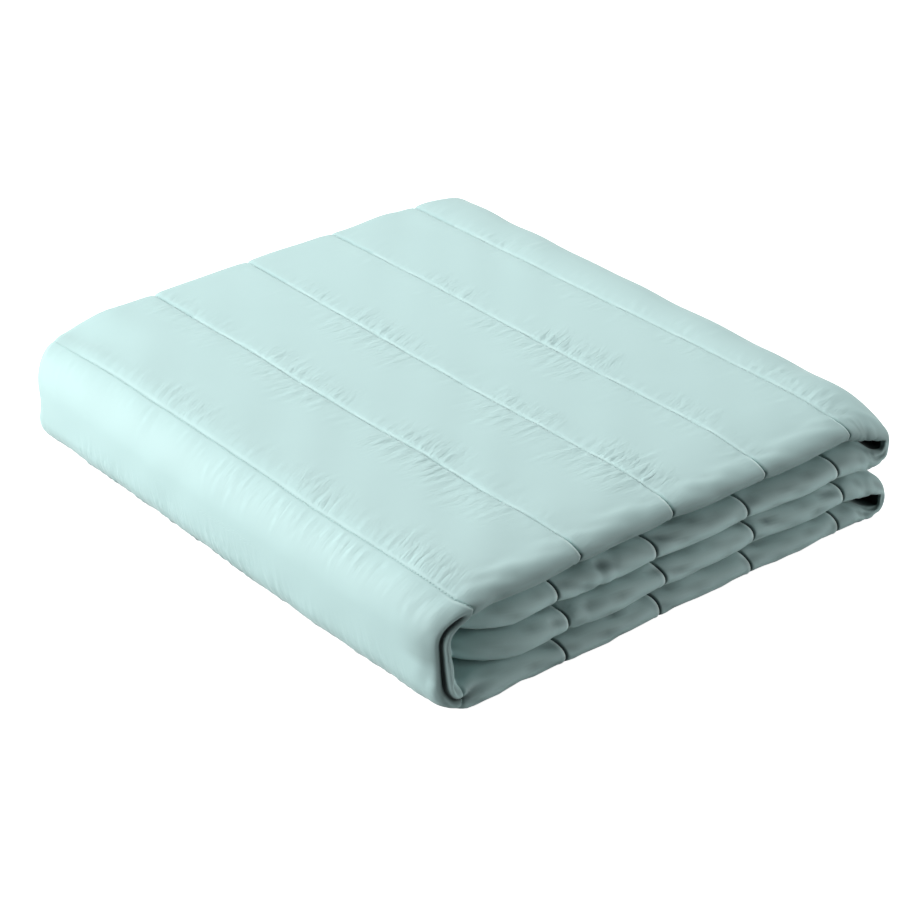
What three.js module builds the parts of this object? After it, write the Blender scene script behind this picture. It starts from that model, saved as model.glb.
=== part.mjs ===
// A channel-quilted bedspread, folded into a stack, as one solid.
// The cloth is first folded in four along Y, which gives one thick strip with a round nose at the front.
// The strip is then folded across X: both sides to the middle and in half, with a loose wrap at the left.
// Millimetres, +Z up, origin at the middle of the underside.
import * as THREE from 'three';

// The four layers of the stack, as heights of the strip's middle and the front and back ends of the strip.
// seam is where the layer's seam nearest the middle lies, measured from the second seam from the left on top.
const LAYERS = {
  top: { height: 90.4, front: 0, back: 577, seam: 0 },
  second: { height: 64.1, front: -5, back: 573, seam: -22 },
  third: { height: 37.8, front: -8, back: 575, seam: -14 },
  bottom: { height: 11.5, front: -12, back: 572, seam: -19 },
};

// The turns of the strip: the middle line's furthest point, how far from it the bend starts,
// the strip's thickness there, and the length over which the strip thins towards it.
const TURNS = {
  upperFold: { reach: 255, bend: 24, thickness: 9, taper: 44, recede: 0 },
  lowerFold: { reach: 247, bend: 19, thickness: 8.4, taper: 52, recede: 0 },
};
const WRAP = {
  reach: -235, shoulder: 34, shoulderDrop: 30, heel: 16, heelRise: 14, thickness: 24, front: 4, back: 30,
};
const FREE_END = { reach: -212, thickness: 17, taper: 16, recede: 30, plan: 62 };

const STRIP = 25.1; // thickness of the strip, four plies of quilt
const PITCH = 102; // between two seams along the cloth
const SEAMS = { second: [-1, 0, 1, 2], top: [2, 1, 0, -1], bottom: [-1, 0, 1, 2], third: [2, 1, 0, -1] };
const SHOULDER_SEAM = 0.24; // share of the shoulder's bend at which its seam lies
const HEEL_SEAM = 0.8; // share of the heel's bend at which its seam lies

// Rise of a channel over its seams, and how far a seam draws in the front and the back.
const CROWN = { outer: 3.6, inner: 1.8, fullness: 4.6, front: 4.5, back: 3 };
// The round front of the strip: its depth, how far its upper half falls back, and the depth of the
// rounds inside it, as shares of its own: where the two middle plies turn, inside and out, and the outer two.
const NOSE = { depth: 21, droop: 4.5, innermost: 0.2, inner: 0.55, lining: 0.62 };
// The fold at the back, the slit inside it, how far the two hems stop short of it, and their round edges.
const TAIL = { depth: 9, slit: 0.1, hems: [8, 3], bevel: 0.22, roundness: 0.35 };
const PLY_GAP = 0.035; // half a gap between plies, as a share of half the strip
const SKEW = { front: 0.012, back: 0.035 }; // how the front and back edges lean across the stack
// How the right folds widen towards the back, and how they lean in and fall at the front.
const SPREAD = { width: 7, from: 190, over: 60 };
const LEAN = { inward: 11, fall: 10, along: 60 };
// How the wrap bows out along its middle and draws in at the back.
const BOW = { out: 3, back: 3.5 };
const SAG = { middle: 2.4, drift: 1.3, wave: 70, phase: 3 }; // how the top of the stack falls and wavers
const WAVER = [{ size: 1.6, wave: 83 }, { size: 1.1, wave: 37 }]; // unevenness of the front and back edges
const PLUMP = { share: 0.03, wave: 61 }; // unevenness of the strip's thickness

const SHOULDERS = [5, 22]; // stations beside each seam
const LARGEST_TURN = THREE.MathUtils.degToRad(23); // between two stations
const CLOSEST = 2.5; // no two stations nearer than this, unless a turn needs them
const ROWS = [0.08, 0.5]; // rows of points along each visible ply face
const HIDDEN_ROWS = [0.08];

const smooth = (t) => THREE.MathUtils.smoothstep(t, 0, 1);

// One quarter of an ellipse as points, from one end of its corner to the other.
function corner(from, pivot, to) {
  const steps = 40;
  return Array.from({ length: steps + 1 }, (_, i) => {
    const turn = (i / steps) * (Math.PI / 2);
    return new THREE.Vector2(
      pivot.x + (from.x - pivot.x) * Math.cos(turn) + (to.x - pivot.x) * Math.sin(turn),
      pivot.y + (from.y - pivot.y) * Math.cos(turn) + (to.y - pivot.y) * Math.sin(turn),
    );
  });
}

// The half turn that joins two layers at the right.
function foldTurn(turn, from, to) {
  const start = new THREE.Vector2(turn.reach - turn.bend, from.height);
  const end = new THREE.Vector2(turn.reach - turn.bend, to.height);
  const pivot = start.clone().lerp(end, 0.5);
  const apex = new THREE.Vector2(turn.reach, pivot.y);
  return [...corner(start, pivot, apex), ...corner(apex, pivot, end)];
}

// The loose wrap at the left: a shoulder, an upright stretch and a heel.
function wrapTurn() {
  const shoulder = new THREE.Vector2(WRAP.reach + WRAP.shoulder, LAYERS.top.height - WRAP.shoulderDrop);
  const heel = new THREE.Vector2(WRAP.reach + WRAP.heel, LAYERS.bottom.height + WRAP.heelRise);
  return {
    shoulder: corner(
      new THREE.Vector2(shoulder.x, LAYERS.top.height), shoulder, new THREE.Vector2(WRAP.reach, shoulder.y)),
    heel: corner(
      new THREE.Vector2(WRAP.reach, heel.y), heel, new THREE.Vector2(heel.x, LAYERS.bottom.height)),
  };
}

// The turns and free ends of the strip's middle line in the order of the cloth. Straight layers join them.
function sections() {
  const wrap = wrapTurn();
  return [
    { name: 'second', points: [new THREE.Vector2(FREE_END.reach, LAYERS.second.height)] },
    { name: 'upperFold', points: foldTurn(TURNS.upperFold, LAYERS.second, LAYERS.top) },
    { name: 'shoulder', points: wrap.shoulder },
    { name: 'heel', points: wrap.heel },
    { name: 'lowerFold', points: foldTurn(TURNS.lowerFold, LAYERS.bottom, LAYERS.third) },
    { name: 'third', points: [new THREE.Vector2(FREE_END.reach, LAYERS.third.height)] },
  ];
}

// The middle line with the distance along the cloth at each point.
class MiddleLine {
  constructor() {
    this.points = [];
    this.marks = {};
    for (const section of sections()) {
      for (const point of section.points) {
        const last = this.points.at(-1);
        if (!last || last.distanceTo(point) > 0.01) this.points.push(point);
        this.marks[section.name] ??= [this.points.length - 1, this.points.length - 1];
        this.marks[section.name][1] = this.points.length - 1;
      }
    }
    this.along = [0];
    for (let i = 1; i < this.points.length; i++) {
      this.along.push(this.along[i - 1] + this.points[i].distanceTo(this.points[i - 1]));
    }
    this.length = this.along.at(-1);
  }

  index(distance) {
    let i = 0;
    while (i < this.along.length - 2 && this.along[i + 1] <= distance) i++;
    return i;
  }

  at(distance) {
    const i = this.index(distance);
    const share = (distance - this.along[i]) / (this.along[i + 1] - this.along[i]);
    return this.points[i].clone().lerp(this.points[i + 1], share);
  }

  heading(distance) {
    const reach = 1.5;
    const ahead = this.at(Math.min(distance + reach, this.length));
    return ahead.sub(this.at(Math.max(distance - reach, 0))).normalize();
  }

  start(name) {
    return this.along[this.marks[name][0]];
  }

  end(name) {
    return this.along[this.marks[name][1]];
  }

  apex(name) {
    return (this.start(name) + this.end(name)) / 2;
  }
}

const line = new MiddleLine();
const WHERE = {
  upperFold: line.apex('upperFold'),
  shoulder: line.start('shoulder'),
  wrap: (line.end('shoulder') + line.start('heel')) / 2,
  heel: line.end('heel'),
  lowerFold: line.apex('lowerFold'),
};

// Distances along the cloth at which the seams cross the strip, in order.
function seamDistances() {
  const origin = { second: 0, top: line.end('upperFold'), bottom: WHERE.heel, third: line.end('lowerFold') };
  const startX = {
    second: FREE_END.reach,
    top: TURNS.upperFold.reach - TURNS.upperFold.bend,
    bottom: WRAP.reach + WRAP.heel,
    third: TURNS.lowerFold.reach - TURNS.lowerFold.bend,
  };
  const on = (name) => SEAMS[name].map((step) => {
    const x = LAYERS[name].seam + step * PITCH;
    return origin[name] + Math.abs(x - startX[name]);
  });
  return [
    ...on('second'),
    ...on('top'),
    THREE.MathUtils.lerp(WHERE.shoulder, line.end('shoulder'), SHOULDER_SEAM),
    THREE.MathUtils.lerp(line.start('heel'), WHERE.heel, HEEL_SEAM),
    ...on('bottom'),
    ...on('third'),
  ];
}

const seams = seamDistances();

// 0 at a seam and 1 along the middle of a channel.
function fullness(distance) {
  const next = seams.findIndex((seam) => seam > distance);
  const from = next === 0 ? 0 : seams[(next < 0 ? seams.length : next) - 1];
  const to = next < 0 ? line.length : seams[next];
  const across = Math.abs((2 * (distance - from)) / (to - from) - 1);
  return 1 - across ** CROWN.fullness;
}

// How near a distance is to a turn: 1 at it and 0 beyond its taper.
const nearness = (distance, place, taper) => 1 - smooth(Math.abs(distance - place) / taper);

// 1 along the wrap's upright stretch, falling to 0 in the channels beside it.
const wrapped = (distance) =>
  nearness(distance, WHERE.wrap, (WHERE.heel - WHERE.shoulder) / 2 + PITCH / 3);

// Thickness of the strip, thin at the folds and at its free ends.
function thickness(distance) {
  let thick = STRIP;
  for (const [name, turn] of Object.entries(TURNS)) {
    thick += (turn.thickness - STRIP) * nearness(distance, WHERE[name], turn.taper);
  }
  const fromEnd = Math.min(distance, line.length - distance);
  thick += (FREE_END.thickness - STRIP) * (1 - smooth(fromEnd / FREE_END.taper));
  const wrapReach = (WHERE.heel - WHERE.shoulder) / 2 + PITCH / 4;
  thick += (WRAP.thickness - STRIP) * nearness(distance, WHERE.wrap, wrapReach);
  return thick * (1 + PLUMP.share * Math.sin(distance / PLUMP.wave) * fullness(distance));
}

// How far the strip's ends are drawn in beside its folds and free ends, front and back.
function drawnIn(distance) {
  let back = 0;
  for (const [name, turn] of Object.entries(TURNS)) {
    back += turn.recede * nearness(distance, WHERE[name], turn.taper);
  }
  const fromEnd = Math.min(distance, line.length - distance);
  back += FREE_END.recede * Math.max(0, 1 - fromEnd / FREE_END.plan) ** 2;
  return back;
}

// The front and back ends of the strip.
function ends(distance) {
  const order = [
    [0, LAYERS.second], [line.start('upperFold'), LAYERS.second], [line.end('upperFold'), LAYERS.top],
    [WHERE.shoulder, LAYERS.top], [WHERE.heel, LAYERS.bottom], [line.start('lowerFold'), LAYERS.bottom],
    [line.end('lowerFold'), LAYERS.third], [line.length, LAYERS.third],
  ];
  const next = Math.max(1, order.findIndex(([place]) => place >= distance));
  const [fromPlace, from] = order[next - 1];
  const [toPlace, to] = order[next];
  const share = smooth((distance - fromPlace) / Math.max(toPlace - fromPlace, 1));
  const x = line.at(distance).x;
  const drawn = 1 - fullness(distance);
  const waver = WAVER.reduce((sum, { size, wave }) => sum + size * Math.sin(distance / wave), 0);
  return {
    front: THREE.MathUtils.lerp(from.front, to.front, share) + CROWN.front * drawn + drawnIn(distance)
      + WRAP.front * wrapped(distance) - SKEW.front * x + waver,
    back: THREE.MathUtils.lerp(from.back, to.back, share) - CROWN.back * drawn - drawnIn(distance)
      - WRAP.back * wrapped(distance) - SKEW.back * x + waver,
  };
}

// One ring of the cloth's outline across the strip. Each point has a share of the straight stretch from
// front to back, a side from -1 inside to 1 outside, a reach out in nose or tail depths, and a hem's shortfall.
function ringOutline() {
  const ring = [];
  const face = (side, forward, rows = HIDDEN_ROWS) => {
    const shares = forward ? rows : [...rows].reverse();
    for (const share of shares) ring.push({ share, side });
  };
  const turn = (share, fromSide, toSide, reach, steps) => {
    for (let i = 0; i <= steps; i++) {
      const angle = -Math.PI / 2 + (i / steps) * Math.PI;
      const side = THREE.MathUtils.lerp(fromSide, toSide, 0.5 + 0.5 * Math.sin(angle));
      ring.push({ share, side, out: reach * Math.cos(angle) });
    }
  };
  const slit = (share, fromSide, toSide, out) => {
    ring.push({ share, side: fromSide, out }, { share, side: toSide, out });
  };
  const hemEdge = (fromSide, toSide, hem) => {
    const bevel = TAIL.bevel * (toSide - fromSide);
    ring.push({ share: 1, side: fromSide, hem, out: -TAIL.roundness });
    ring.push({ share: 1, side: fromSide + bevel, hem });
    ring.push({ share: 1, side: toSide - bevel, hem });
    ring.push({ share: 1, side: toSide, hem, out: -TAIL.roundness });
  };
  const gap = PLY_GAP;
  face(-1, false, ROWS);
  turn(0, -1, 1, 1, 8);
  face(1, true, ROWS);
  turn(1, 1, gap, 1, 4);
  face(gap, false);
  slit(0, gap, -gap, NOSE.innermost);
  face(-gap, true);
  hemEdge(-gap, gap - 0.5, TAIL.hems[0]);
  face(gap - 0.5, false);
  turn(0, gap - 0.5, 0.5 - gap, NOSE.inner, 4);
  face(0.5 - gap, true);
  slit(1, 0.5 - gap, 0.5 + gap, TAIL.slit);
  face(0.5 + gap, false);
  turn(0, 0.5 + gap, -0.5 - gap, NOSE.lining, 4);
  face(-0.5 - gap, true);
  hemEdge(-0.5 - gap, -1, TAIL.hems[1]);
  return ring;
}

// A point of the ring at a distance along the cloth.
function place(distance, { share, side, out = 0, hem = 0 }) {
  const middle = line.at(distance);
  const heading = line.heading(distance);
  const outward = new THREE.Vector2(heading.y, -heading.x);
  const full = fullness(distance);
  const half = thickness(distance) / 2;
  const crown = side > 0 ? CROWN.outer : CROWN.inner;
  const scale = Math.min(1, thickness(distance) / STRIP);
  const rise = side * (half - crown * scale * (1 - full));
  const { front, back } = ends(distance);
  const noseDepth = NOSE.depth * scale;
  const tailDepth = TAIL.depth * scale;
  const upper = Math.max(0, 0.5 + 0.5 * side * outward.y);
  const straightFrom = front + noseDepth;
  const straightTo = back - tailDepth - hem * scale;
  let y = THREE.MathUtils.lerp(straightFrom, straightTo, share);
  if (share === 0) y -= out * (noseDepth - NOSE.droop * scale * upper ** 2);
  if (share === 1) y += out * tailDepth;
  const alongY = (y - front) / (back - front);
  const right = smooth((middle.x - SPREAD.from) / SPREAD.over);
  const left = wrapped(distance);
  const lean = right * Math.max(0, 1 - Math.max(0, y - front) / LEAN.along) ** 2;
  const height = LAYERS.top.height;
  const x = middle.x + outward.x * rise + right * SPREAD.width * alongY - lean * LEAN.inward
    + left * (BOW.back * alongY ** 2 - BOW.out * Math.sin(Math.PI * alongY));
  const z = (middle.y + outward.y * rise) * (1 - (lean * LEAN.fall) / height);
  const fall = SAG.middle * Math.sin(Math.PI * alongY)
    + SAG.drift * Math.sin(x / SAG.wave + SAG.phase * alongY);
  return [x, y, Math.max(0, z - (fall * Math.max(0, z)) / height)];
}

// Stations along the cloth: at the seams and beside them, and close enough round each turn.
function stations() {
  const list = [0, 6, line.length - 6, line.length];
  for (const seam of seams) {
    list.push(seam);
    for (const offset of SHOULDERS) list.push(seam - offset, seam + offset);
  }
  list.sort((a, b) => a - b);
  const kept = list.filter((value, i) => i === 0 || value - list[i - 1] > CLOSEST);
  const fine = [];
  kept.forEach((value, i) => {
    if (i > 0) {
      const before = kept[i - 1];
      const turned = turning(before, value);
      const parts = Math.ceil(turned / LARGEST_TURN);
      for (let k = 1; k < parts; k++) fine.push(stationAtTurn(before, value, (turned * k) / parts));
    }
    fine.push(value);
  });
  return fine;
}

// The angle through which the middle line turns between two distances.
function turning(from, to) {
  const steps = Math.ceil((to - from) / 0.5);
  let total = 0;
  for (let i = 0; i < steps; i++) {
    const a = line.heading(from + ((to - from) * i) / steps);
    const b = line.heading(from + ((to - from) * (i + 1)) / steps);
    total += Math.abs(Math.atan2(a.x * b.y - a.y * b.x, a.dot(b)));
  }
  return total;
}

// The distance at which the middle line has turned by a given angle since from.
function stationAtTurn(from, to, angle) {
  let low = from;
  let high = to;
  for (let i = 0; i < 20; i++) {
    const middle = (low + high) / 2;
    if (turning(from, middle) < angle) low = middle;
    else high = middle;
  }
  return (low + high) / 2;
}

// Joins the rings into one closed skin, with a cap at each free end of the strip.
function bedspreadGeometry() {
  const ring = ringOutline();
  const distances = stations();
  const positions = [];
  for (const distance of distances) {
    for (const point of ring) positions.push(...place(distance, point));
  }
  const size = ring.length;
  const triangles = [];
  for (let i = 0; i + 1 < distances.length; i++) {
    for (let k = 0; k < size; k++) {
      const a = i * size + k;
      const b = i * size + ((k + 1) % size);
      // Both faces of a ply are cut along the same diagonal, so that a thin ply stays clear of the next.
      const forward = positions[3 * b + 1] > positions[3 * a + 1];
      if (forward) triangles.push(a, b, a + size, b, b + size, a + size);
      else triangles.push(a, b, b + size, a, b + size, a + size);
    }
  }
  // The free ends hang level, so each cap lies in a plane across X and is laid out on its own Y and Z.
  const cap = (first) => {
    const flat = ring.map((_, k) => {
      const [, y, z] = positions.slice(3 * (first + k), 3 * (first + k) + 3);
      return new THREE.Vector2(y, z);
    });
    for (const [a, b, c] of THREE.ShapeUtils.triangulateShape(flat, [])) {
      triangles.push(first + a, first + c, first + b);
    }
  };
  cap(0);
  cap((distances.length - 1) * size);
  const geometry = new THREE.BufferGeometry();
  geometry.setAttribute('position', new THREE.Float32BufferAttribute(positions, 3));
  geometry.setIndex(triangles);
  geometry.computeBoundingBox();
  const middle = geometry.boundingBox.getCenter(new THREE.Vector3());
  geometry.translate(-middle.x, -middle.y, -geometry.boundingBox.min.z);
  geometry.computeVertexNormals();
  return geometry;
}

const cloth = new THREE.MeshStandardMaterial({ color: 0xb9dcda, roughness: 0.75, metalness: 0 });

const bedspread = new THREE.Mesh(bedspreadGeometry(), cloth);
bedspread.name = 'bedspread';

const group = new THREE.Group();
group.add(bedspread);

export default group;
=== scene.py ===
"""A channel-quilted bedspread that lies folded in a flat stack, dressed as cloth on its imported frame."""

from __future__ import annotations

import logging
import math
from dataclasses import dataclass
from enum import Enum

import bpy
import numpy as np
from bpy.types import Material, Node, NodeSocket, NodeTree, Object
from mathutils import Matrix, Vector
from mathutils.geometry import tessellate_polygon


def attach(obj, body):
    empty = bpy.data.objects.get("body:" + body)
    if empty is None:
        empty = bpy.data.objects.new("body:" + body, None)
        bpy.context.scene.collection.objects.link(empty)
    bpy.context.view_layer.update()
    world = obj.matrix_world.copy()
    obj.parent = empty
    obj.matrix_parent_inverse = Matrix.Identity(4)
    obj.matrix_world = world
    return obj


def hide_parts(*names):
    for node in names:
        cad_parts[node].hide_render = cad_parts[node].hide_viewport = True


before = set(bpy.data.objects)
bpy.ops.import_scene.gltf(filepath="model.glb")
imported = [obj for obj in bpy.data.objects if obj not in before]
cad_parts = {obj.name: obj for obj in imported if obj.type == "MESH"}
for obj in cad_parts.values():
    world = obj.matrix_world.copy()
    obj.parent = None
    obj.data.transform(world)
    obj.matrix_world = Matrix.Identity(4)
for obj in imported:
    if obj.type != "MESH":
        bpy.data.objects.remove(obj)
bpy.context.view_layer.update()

logging.basicConfig(level=logging.INFO, format="%(message)s")
LOG = logging.getLogger("bedspread")

Array = np.ndarray
Pair = tuple[float, float]
Colour = tuple[float, float, float]

NODE = "bedspread"
BODY = "root"
MIDDLE_X = 0.00903  # the underside's middle, from the seam left of the stack's middle
MIDDLE_Y = 0.28286  # the underside's middle, from the line of the top layer's front
SHOULDER_SEAM, HEEL_SEAM = 8, 9  # the seams on the loose turn, of 18 counted along the cloth
TOP_SEAMS = range(4, 10)  # the seams whose whole length can be seen


def smooth(share: Array) -> Array:
    """Ease shares from 0 to 1, held between the two."""
    held = np.clip(share, 0.0, 1.0)
    return held * held * (3.0 - 2.0 * held)


def mix(start: Array, end: Array, share: Array) -> Array:
    """Return the values that lie a share of the way from start to end."""
    return start + (end - start) * share


def near(value: Array, place: float, taper: float) -> Array:
    """Return 1 at a place, falling to 0 a taper away."""
    return 1.0 - smooth(np.abs(value - place) / taper)


def bell(value: Array, width: float) -> Array:
    """Return 1 at a value of 0, falling off on both sides as a bell curve."""
    return np.exp(-((value / width) ** 2))


@dataclass(frozen=True)
class Ramp:
    """An eased step between 0 and 1, which begins at a start and takes up a span."""

    start: float
    span: float

    def rise(self, value: Array) -> Array:
        """Return 0 before the step and 1 past it."""
        return smooth((value - self.start) / self.span)

    def fall(self, value: Array) -> Array:
        """Return 1 before the step and 0 past it."""
        return 1.0 - self.rise(value)


@dataclass(frozen=True)
class Nudge:
    """A small move of the strip about a mark: how far, how far past the mark, and over what taper."""

    move: float
    past: float
    taper: float

    def at(self, distance: Array, mark: float) -> Array:
        """Return the move at distances along the cloth."""
        return self.move * near(distance, mark + self.past, self.taper)


class Side(Enum):
    """The side of a seam on which a pucker lies."""

    BEFORE = -1
    AFTER = 1


@dataclass(frozen=True)
class Layer:
    """One of the four layers of the stack: the strip's height, its ends and a seam near its middle."""

    height: float
    front: float
    back: float
    seam: float


@dataclass(frozen=True)
class Turn:
    """A tight fold of the strip at the right of the stack."""

    reach: float
    bend: float
    thickness: float
    taper: float


@dataclass(frozen=True)
class Wrap:
    """The loose turn of the strip at the left of the stack, from its shoulder to its heel."""

    reach: float = -0.235
    shoulder: float = 0.032
    shoulder_drop: float = 0.030
    heel: float = 0.017
    heel_rise: float = 0.018
    thickness: float = 0.024
    front: float = 0.004
    back: float = 0.030
    pull: Pair = (0.32, 0.25)  # of the shoulder's and the heel's seams, against 1 for the others


@dataclass(frozen=True)
class FreeEnd:
    """The two free ends of the strip, inside the loose turn."""

    reach: float = -0.212
    thickness: float = 0.017
    taper: float = 0.016
    recede: float = 0.030
    plan: float = 0.062


@dataclass(frozen=True)
class Fold:
    """How the bedspread is folded: the sizes of its layers and turns, which the frame's solid shares."""

    top: Layer = Layer(0.0904, 0.000, 0.577, 0.000)
    second: Layer = Layer(0.0641, -0.005, 0.573, -0.022)
    third: Layer = Layer(0.0378, -0.008, 0.575, -0.014)
    bottom: Layer = Layer(0.0115, -0.012, 0.572, -0.019)
    upper: Turn = Turn(0.255, 0.024, 0.0090, 0.044)
    lower: Turn = Turn(0.247, 0.019, 0.0084, 0.052)
    wrap: Wrap = Wrap()
    free: FreeEnd = FreeEnd()
    strip: float = 0.0251
    pitch: float = 0.102
    shoulder_seam: float = 0.24
    heel_seam: float = 0.80


@dataclass(frozen=True)
class Crown:
    """The rise of a channel over its seams, and how far the seams draw in the strip's ends."""

    outer: float = 0.0006
    inner: float = 0.0008
    fullness: float = 16.0
    front: float = 0.0008
    back: float = 0.0022
    set_back: float = 0.0013


@dataclass(frozen=True)
class Ends:
    """The round nose at the front of the strip, and the fold and hems at its back."""

    nose: float = 0.021
    droop: float = 0.0045
    innermost: float = 0.20
    inner: float = 0.55
    lining: float = 0.62
    tail: float = 0.009
    slit: float = 0.10
    hems: Pair = (0.008, 0.003)
    roundness: float = 0.35
    ply_gap: float = 0.035


@dataclass(frozen=True)
class Hollow:
    """The gap inside each tight fold: how much thinner the arms beside it lie than the solid's."""

    lower: float = 0.0046
    upper: float = -0.0034
    apex: float = 0.0012
    start: float = 0.002
    full: float = 0.012
    hold: float = 0.026
    end: float = 0.048


@dataclass(frozen=True)
class Waver:
    """The slow unevenness of the stack, its edges and the strip's thickness."""

    skew_front: float = 0.012
    skew_back: float = 0.035
    spread: float = 0.007
    right: Ramp = Ramp(0.190, 0.060)
    lean: float = 0.011
    lean_fall: float = 0.010
    lean_along: float = 0.060
    bow_out: float = 0.003
    bow_back: float = -0.0005
    sag: float = 0.0024
    swell: float = 0.0012
    swell_along: float = 0.4
    drift: float = 0.0013
    drift_wave: float = 0.070
    drift_phase: float = 3.0
    edges: tuple[Pair, ...] = ((0.0016, 0.083), (0.0011, 0.037))
    plump: float = 0.03
    plump_wave: float = 0.061
    slant: float = 0.005
    slant_back: Ramp = Ramp(-0.004, 0.022)
    stray_beside: Ramp = Ramp(0.010, 0.034)
    heel_back: Nudge = Nudge(0.0020, 0.0, 0.050)
    shoulder_back: Nudge = Nudge(0.0015, -0.018, 0.050)
    shoulder_front: Nudge = Nudge(0.0055, 0.0, 0.030)
    shoulder_sink: Nudge = Nudge(0.0085, -0.006, 0.046)
    sink_along: Ramp = Ramp(0.80, 0.20)
    heel_lift: Nudge = Nudge(0.0038, -0.016, 0.034)
    lift_along: Ramp = Ramp(0.25, 0.40)
    foot_past_heel: Ramp = Ramp(0.010, 0.050)
    foot_before_fold: Ramp = Ramp(0.0, 0.045)
    foot: tuple[Pair, ...] = (
        (-0.235, 0.0035), (-0.140, 0.0035), (-0.110, -0.0008), (-0.055, -0.0008), (-0.020, 0.0015),
        (0.020, 0.0036), (0.085, 0.0048), (0.118, 0.0046), (0.145, 0.0025), (0.250, 0.0028),
    )


# How far some seams stray along the cloth, at distances back from the front.
DRIFT_PLACES = (-0.006, 0.000, 0.012, 0.030, 0.070, 0.110, 0.190, 0.270, 0.350, 0.430, 0.510, 0.570)
DRIFTS = {
    4: (-0.001, 0.0, 0.003, 0.0042, 0.003, 0.0031, 0.0028, 0.004, 0.0055, 0.0063, 0.0085, 0.01),
    5: (-0.001, -0.0006, 0.0, 0.0, -0.0016, -0.0022, -0.0017, -0.0011, -0.0003, 0.0006, 0.0037, 0.0068),
    6: (
        -0.001, -0.001, -0.0012, -0.0018, -0.0022, -0.0027, -0.0026, -0.0021, -0.0022, -0.0019, -0.001,
        0.0005,
    ),
    7: (-0.002, -0.0012, 0.0, 0.0008, 0.003, 0.0048, 0.001, 0.0026, 0.0018, -0.0001, 0.002, 0.0028),
    8: (-0.004, -0.0016, 0.0012, 0.0014, 0.0016, 0.0015, 0.0019, 0.0003, -0.0002, -0.0001, -0.0004, -0.0003),
}


@dataclass(frozen=True)
class Span:
    """The distances along the cloth at which a turn starts and ends."""

    start: float
    end: float

    @property
    def middle(self) -> float:
        """Return the distance halfway."""
        return (self.start + self.end) / 2


class MiddleLine:
    """The middle line of the folded strip, seen along the seams."""

    CORNER_POINTS = 61
    HEADING_REACH = 0.0015

    def __init__(self, fold: Fold) -> None:
        """Lay out the line over the layers and turns."""
        stretches = self._stretches(fold)
        self.points = np.array([point for stretch in stretches for point in stretch])
        steps = np.linalg.norm(np.diff(self.points, axis=0), axis=1)
        self.along = np.concatenate([[0.0], np.cumsum(steps)])
        self.length = float(self.along[-1])
        lasts = np.cumsum([len(stretch) for stretch in stretches]) - 1
        spans = [
            Span(float(self.along[last - len(stretch) + 1]), float(self.along[last]))
            for last, stretch in zip(lasts, stretches)
        ]
        self.upper, self.shoulder, self.heel, self.lower = spans[1:5]

    def _stretches(self, fold: Fold) -> list[list[Pair]]:
        """Return the first free end, the four turns and the last free end, each as points."""
        wrap = fold.wrap
        shoulder = (wrap.reach + wrap.shoulder, fold.top.height - wrap.shoulder_drop)
        heel = (wrap.reach + wrap.heel, fold.bottom.height + wrap.heel_rise)
        return [
            [(fold.free.reach, fold.second.height)],
            self._half_turn(fold.upper, fold.second, fold.top),
            self._corner((shoulder[0], fold.top.height), shoulder, (wrap.reach, shoulder[1])),
            self._corner((wrap.reach, heel[1]), heel, (heel[0], fold.bottom.height)),
            self._half_turn(fold.lower, fold.bottom, fold.third),
            [(fold.free.reach, fold.third.height)],
        ]

    def _corner(self, start: Pair, pivot: Pair, end: Pair) -> list[Pair]:
        """Return a quarter of an ellipse round its pivot as points."""
        turns = np.linspace(0.0, math.pi / 2, self.CORNER_POINTS)
        first, second = np.subtract(start, pivot), np.subtract(end, pivot)
        curve = np.asarray(pivot) + np.outer(np.cos(turns), first) + np.outer(np.sin(turns), second)
        return [(float(x), float(z)) for x, z in curve]

    def _half_turn(self, turn: Turn, start: Layer, end: Layer) -> list[Pair]:
        """Return the points of a fold that joins two layers at the right."""
        x = turn.reach - turn.bend
        middle = (start.height + end.height) / 2
        pivot, apex = (x, middle), (turn.reach, middle)
        rising = self._corner((x, start.height), pivot, apex)
        return rising + self._corner(apex, pivot, (x, end.height))[1:]

    def at(self, distance: Array) -> Array:
        """Return the points of the line at distances along the cloth, as x and z."""
        return np.stack([np.interp(distance, self.along, self.points[:, axis]) for axis in (0, 1)], axis=-1)

    def outward(self, distance: Array) -> Array:
        """Return the unit directions, as x and z, that point out of each turn."""
        ahead = self.at(np.minimum(distance + self.HEADING_REACH, self.length))
        heading = ahead - self.at(np.maximum(distance - self.HEADING_REACH, 0.0))
        heading /= np.linalg.norm(heading, axis=-1, keepdims=True)
        return np.stack([heading[..., 1], -heading[..., 0]], axis=-1)


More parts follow.
